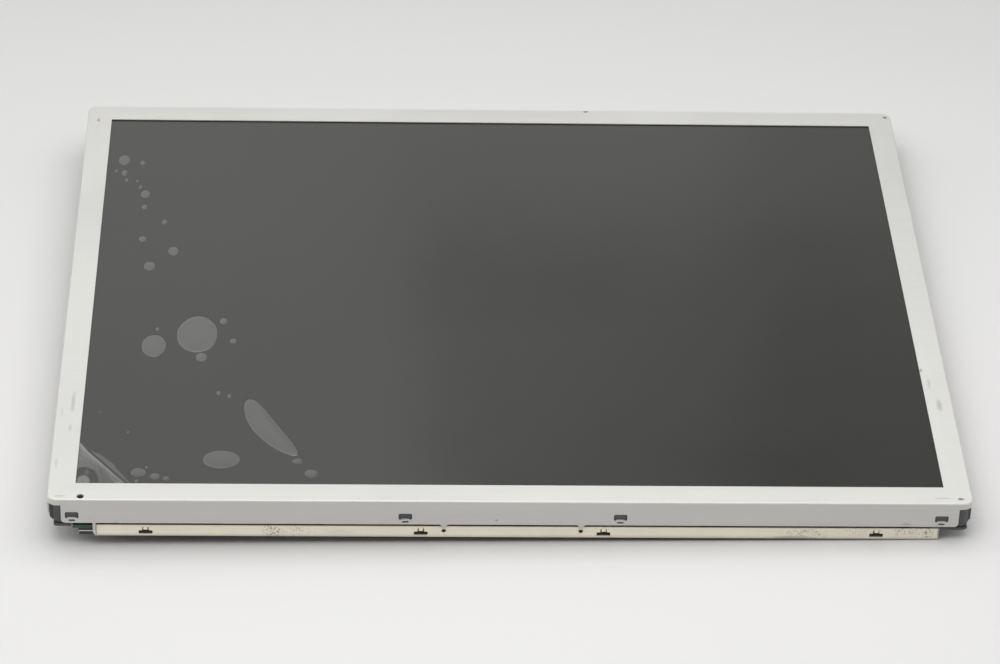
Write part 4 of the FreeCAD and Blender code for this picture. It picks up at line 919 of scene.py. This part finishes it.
# Each row is x, y, half width and half depth in mm.
BUBBLES = np.array([
    (-182.0, 115.1, 2.9, 4.7), (-173.0, 112.5, 1.2, 2.3), (-181.4, 103.1, 1.5, 2.8),
    (-185.4, 104.9, 0.8, 1.5), (-180.1, 96.7, 0.9, 1.8), (-174.7, 95.8, 0.7, 1.4),
    (-173.0, 90.4, 0.9, 1.8), (-170.3, 84.0, 2.4, 3.6), (-170.3, 72.3, 1.4, 2.2),
    (-160.1, 59.0, 1.4, 2.2), (-169.9, 43.9, 1.9, 2.6), (-154.8, 33.6, 2.6, 3.9),
    (-165.6, 20.5, 2.8, 3.9), (-141.1, -36.1, 9.9, 15.5), (-160.7, -45.7, 5.9, 9.3),
    (-159.6, -32.3, 0.9, 1.6), (-129.4, -25.3, 1.8, 2.7), (-124.4, -41.6, 1.6, 2.2),
    (-138.6, -54.7, 2.7, 3.6), (-130.0, -83.2, 1.0, 1.8), (-125.0, -85.5, 1.0, 1.8),
    (-127.3, -133.5, 8.6, 6.9), (-93.8, -134.7, 2.4, 2.2), (-87.6, -143.6, 3.1, 3.0),
    (-163.3, -143.5, 3.5, 3.3), (-159.9, -139.8, 0.7, 1.1), (-155.9, -146.4, 2.3, 2.4),
    (-150.9, -147.8, 1.5, 1.5), (-163.8, -150.1, 0.9, 1.4), (-169.1, -113.6, 0.6, 1.1),
    (-182.3, -98.5, 0.4, 0.7),
])
# Each wave of an outline is its size, its count round the outline and its share of the phase.
OUTLINE_WAVES = ((0.012, 3.0, 1.0), (0.008, 5.0, -1.7))
PHASE_STEP = 2.1
TEAR_HEAD = np.array((-117.0, -86.4))
TEAR_TIP = np.array((-93.7, -131.6))
TEAR_WIDTH, TEAR_ROUND, TEAR_POINTED = 11.6, 0.45, 0.5
TEAR_BOW = 3.0


def oval_outlines(rows):
    """Outlines of ovals, x = a cos v and y = b sin v, with the radius waved by up to 2 percent."""
    phase = np.arange(len(rows))[:, None] * PHASE_STEP
    waves = sum(size * np.cos(turns * turn + own * phase) for size, turns, own in OUTLINE_WAVES)
    x = rows[:, :1] + rows[:, 2:3] * (1.0 + waves) * np.cos(turn)
    y = rows[:, 1:2] + rows[:, 3:4] * (1.0 + waves) * np.sin(turn)
    return np.stack([x, y], axis=-1)


def tear_outline():
    """Outline of a drop: with t = (1 - cos v) / 2 from head to tip, the half width is
    11.6 t^0.45 (1 - t)^0.5 and the middle line bows to one side by 3 sin(pi t)."""
    share = (1.0 - np.cos(turn)) / 2.0
    axis = TEAR_TIP - TEAR_HEAD
    side = np.array((-axis[1], axis[0])) / np.linalg.norm(axis)
    half = TEAR_WIDTH * share ** TEAR_ROUND * (1.0 - share) ** TEAR_POINTED
    across = np.sign(-np.sin(turn)) * half - TEAR_BOW * np.sin(np.pi * share)
    return TEAR_HEAD + share[:, None] * axis + across[:, None] * side


outlines = np.concatenate([oval_outlines(BUBBLES), tear_outline()[None]])
print("bubbles", len(outlines), "largest half depth in mm", BUBBLES[:, 3].max())

# %% Caps of the bubbles
CAP_RINGS = np.array((0.25, 0.5, 0.7, 0.84, 0.91, 1.0))
CAP_AIR = np.array((0.40, 0.39, 0.38, 0.38, 0.46, 0.38))
CAP_RISE = 0.09
MOST_RISE = 0.3
RIM_SINK, RIM_POWER = 0.02, 8
BASE_SINK = 0.06
# Bubbles near the front edge look darker, so their painted reflection is weaker: their share of the
# air, and where it changes.
FRONT_SHARE = 0.84
FRONT_CHANGE = (-135.0, -60.0)
film_top = film_high[2]


def air_caps(outlines):
    """Closed caps: ring q of an outline is its middle + q (outline - middle), at a height
    above the film of rise (1 - q^2), where rise grows with the root of the outline's size.
    The last ring dips into the film."""
    middle = outlines.mean(axis=1)
    reach = np.linalg.norm(outlines - middle[:, None], axis=-1).mean(axis=1)
    rise = np.minimum(CAP_RISE * np.sqrt(reach), MOST_RISE)
    flat = middle[:, None, None] + CAP_RINGS[:, None, None] * (outlines - middle[:, None])[:, None]
    dip = RIM_SINK * CAP_RINGS ** RIM_POWER
    height = film_top + rise[:, None] * (1.0 - CAP_RINGS ** 2) - dip
    height = np.broadcast_to(height[:, :, None], flat.shape[:3])
    rings = np.concatenate([flat, height[..., None]], axis=-1).reshape(len(outlines), -1, 3)
    tops = np.column_stack([middle, film_top + rise])[:, None]
    bases = np.column_stack([middle, np.full(len(middle), film_top - BASE_SINK)])[:, None]
    return np.concatenate([tops, rings, bases], axis=1)


caps = air_caps(outlines)
cap_faces = copied_faces(ring_faces(len(CAP_RINGS), BUBBLE_POINTS), *caps.shape[:2])
bubbles = new_piece("trapped_air", caps.reshape(-1, 3) * MM, cap_faces, "screen_film")
cap_air = np.concatenate([CAP_AIR[:1], np.repeat(CAP_AIR, BUBBLE_POINTS), CAP_AIR[:1]])
back = smooth_step(outlines.mean(axis=1)[:, 1], *FRONT_CHANGE)
set_air(bubbles, np.outer(FRONT_SHARE + (1.0 - FRONT_SHARE) * back, cap_air))
print("cap faces", sum(len(block) for block in cap_faces))

# %% [markdown]
# ## Screw heads
# The solids have plain round heads. The real ones have a cross recess and a rounded rim.
# Cutting a cross with a boolean leaves poor faces, so the whole screw is one surface: a
# profile turned round its axis, where the rings on the head's face sink inside the cross.
# The places are read from the solids, so each screw sits in its own hole.

# %% Screws with a cross recess
SCREW_POINTS = 64
SCREW_APART = 6.0
HEAD_RADIUS, HEAD_HEIGHT = 2.6, 1.5
SHANK_RADIUS, TIP_LENGTH = 1.25, 0.4
FACE_SHARES = np.linspace(0.12, 0.8, 12)
DOME_RISE = 0.12
# Round the rim of the head: shares of its radius, and heights above its face in mm.
RIM_SHARES = np.array((0.9, 0.97, 1.0, 1.0))
RIM_HEIGHTS = np.array((0.16, 0.34, 0.6, HEAD_HEIGHT))
SHANK_SHARES = np.array((1.0, 1.0, 0.75))
RECESS_DEPTH, RECESS_MIDDLE = 0.9, 0.95
ARM_SIDE = (0.55, 0.35)
ARM_END = (1.7, 1.1)


def screw_places(node):
    """Middle of each screw of a node, in mm: points closer than 6 mm to one another are one screw."""
    mesh = frame["nodes"][node].data
    flat = np.empty(len(mesh.vertices) * 3, np.float32)
    mesh.vertices.foreach_get("co", flat)
    left = flat.reshape(-1, 3) / MM
    places = []
    while len(left):
        near = np.linalg.norm(left[:, :2] - left[0, :2], axis=1) < SCREW_APART
        places.append((left[near].min(axis=0) + left[near].max(axis=0)) / 2.0)
        left = left[~near]
    return np.array(places)


def cross_screw(low, tip):
    """Points of a screw whose head faces down, and its count of rings. Ring radii and heights
    follow the profile, and on the face the height rises by 0.9 inside two crossed arms of
    half width 0.45, which end at about 1.4 from the middle."""
    face = FACE_SHARES * HEAD_RADIUS
    radius = np.concatenate([face, HEAD_RADIUS * RIM_SHARES, SHANK_RADIUS * SHANK_SHARES])
    dome = low + DOME_RISE * FACE_SHARES ** 2
    shank = (low + HEAD_HEIGHT, tip - TIP_LENGTH, tip)
    height = np.concatenate([dome, low + RIM_HEIGHTS, shank])
    angle = np.linspace(0.0, 2.0 * np.pi, SCREW_POINTS, endpoint=False)
    x = radius[:, None] * np.cos(angle)
    y = radius[:, None] * np.sin(angle)
    arm = smooth_step(np.minimum(np.abs(x), np.abs(y)), *ARM_SIDE)
    on_face = (np.arange(len(radius)) < len(face))[:, None]
    sunk = arm * smooth_step(np.hypot(x, y), *ARM_END) * on_face
    rings = np.stack([x, y, height[:, None] + RECESS_DEPTH * sunk], axis=-1).reshape(-1, 3)
    ends = ((0.0, 0.0, low + RECESS_MIDDLE), (0.0, 0.0, tip))
    return np.concatenate([ends[:1], rings, ends[1:]]), len(radius)


for node in ("cover_screws", "shield_screws"):
    places = screw_places(node)
    low, high = (np.array(corner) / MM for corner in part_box(node))
    profile, ring_count = cross_screw(low[2], high[2])
    moves = np.column_stack([places[:, :2], np.zeros(len(places))])
    points = (profile + moves[:, None]).reshape(-1, 3)
    outward = [block[:, ::-1] for block in ring_faces(ring_count, SCREW_POINTS)]
    faces = copied_faces(outward, len(places), len(profile))
    piece = new_piece("cross_" + node, points * MM, faces, "screw_steel")
    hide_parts(node)
    print(piece.name, len(places), "screws")
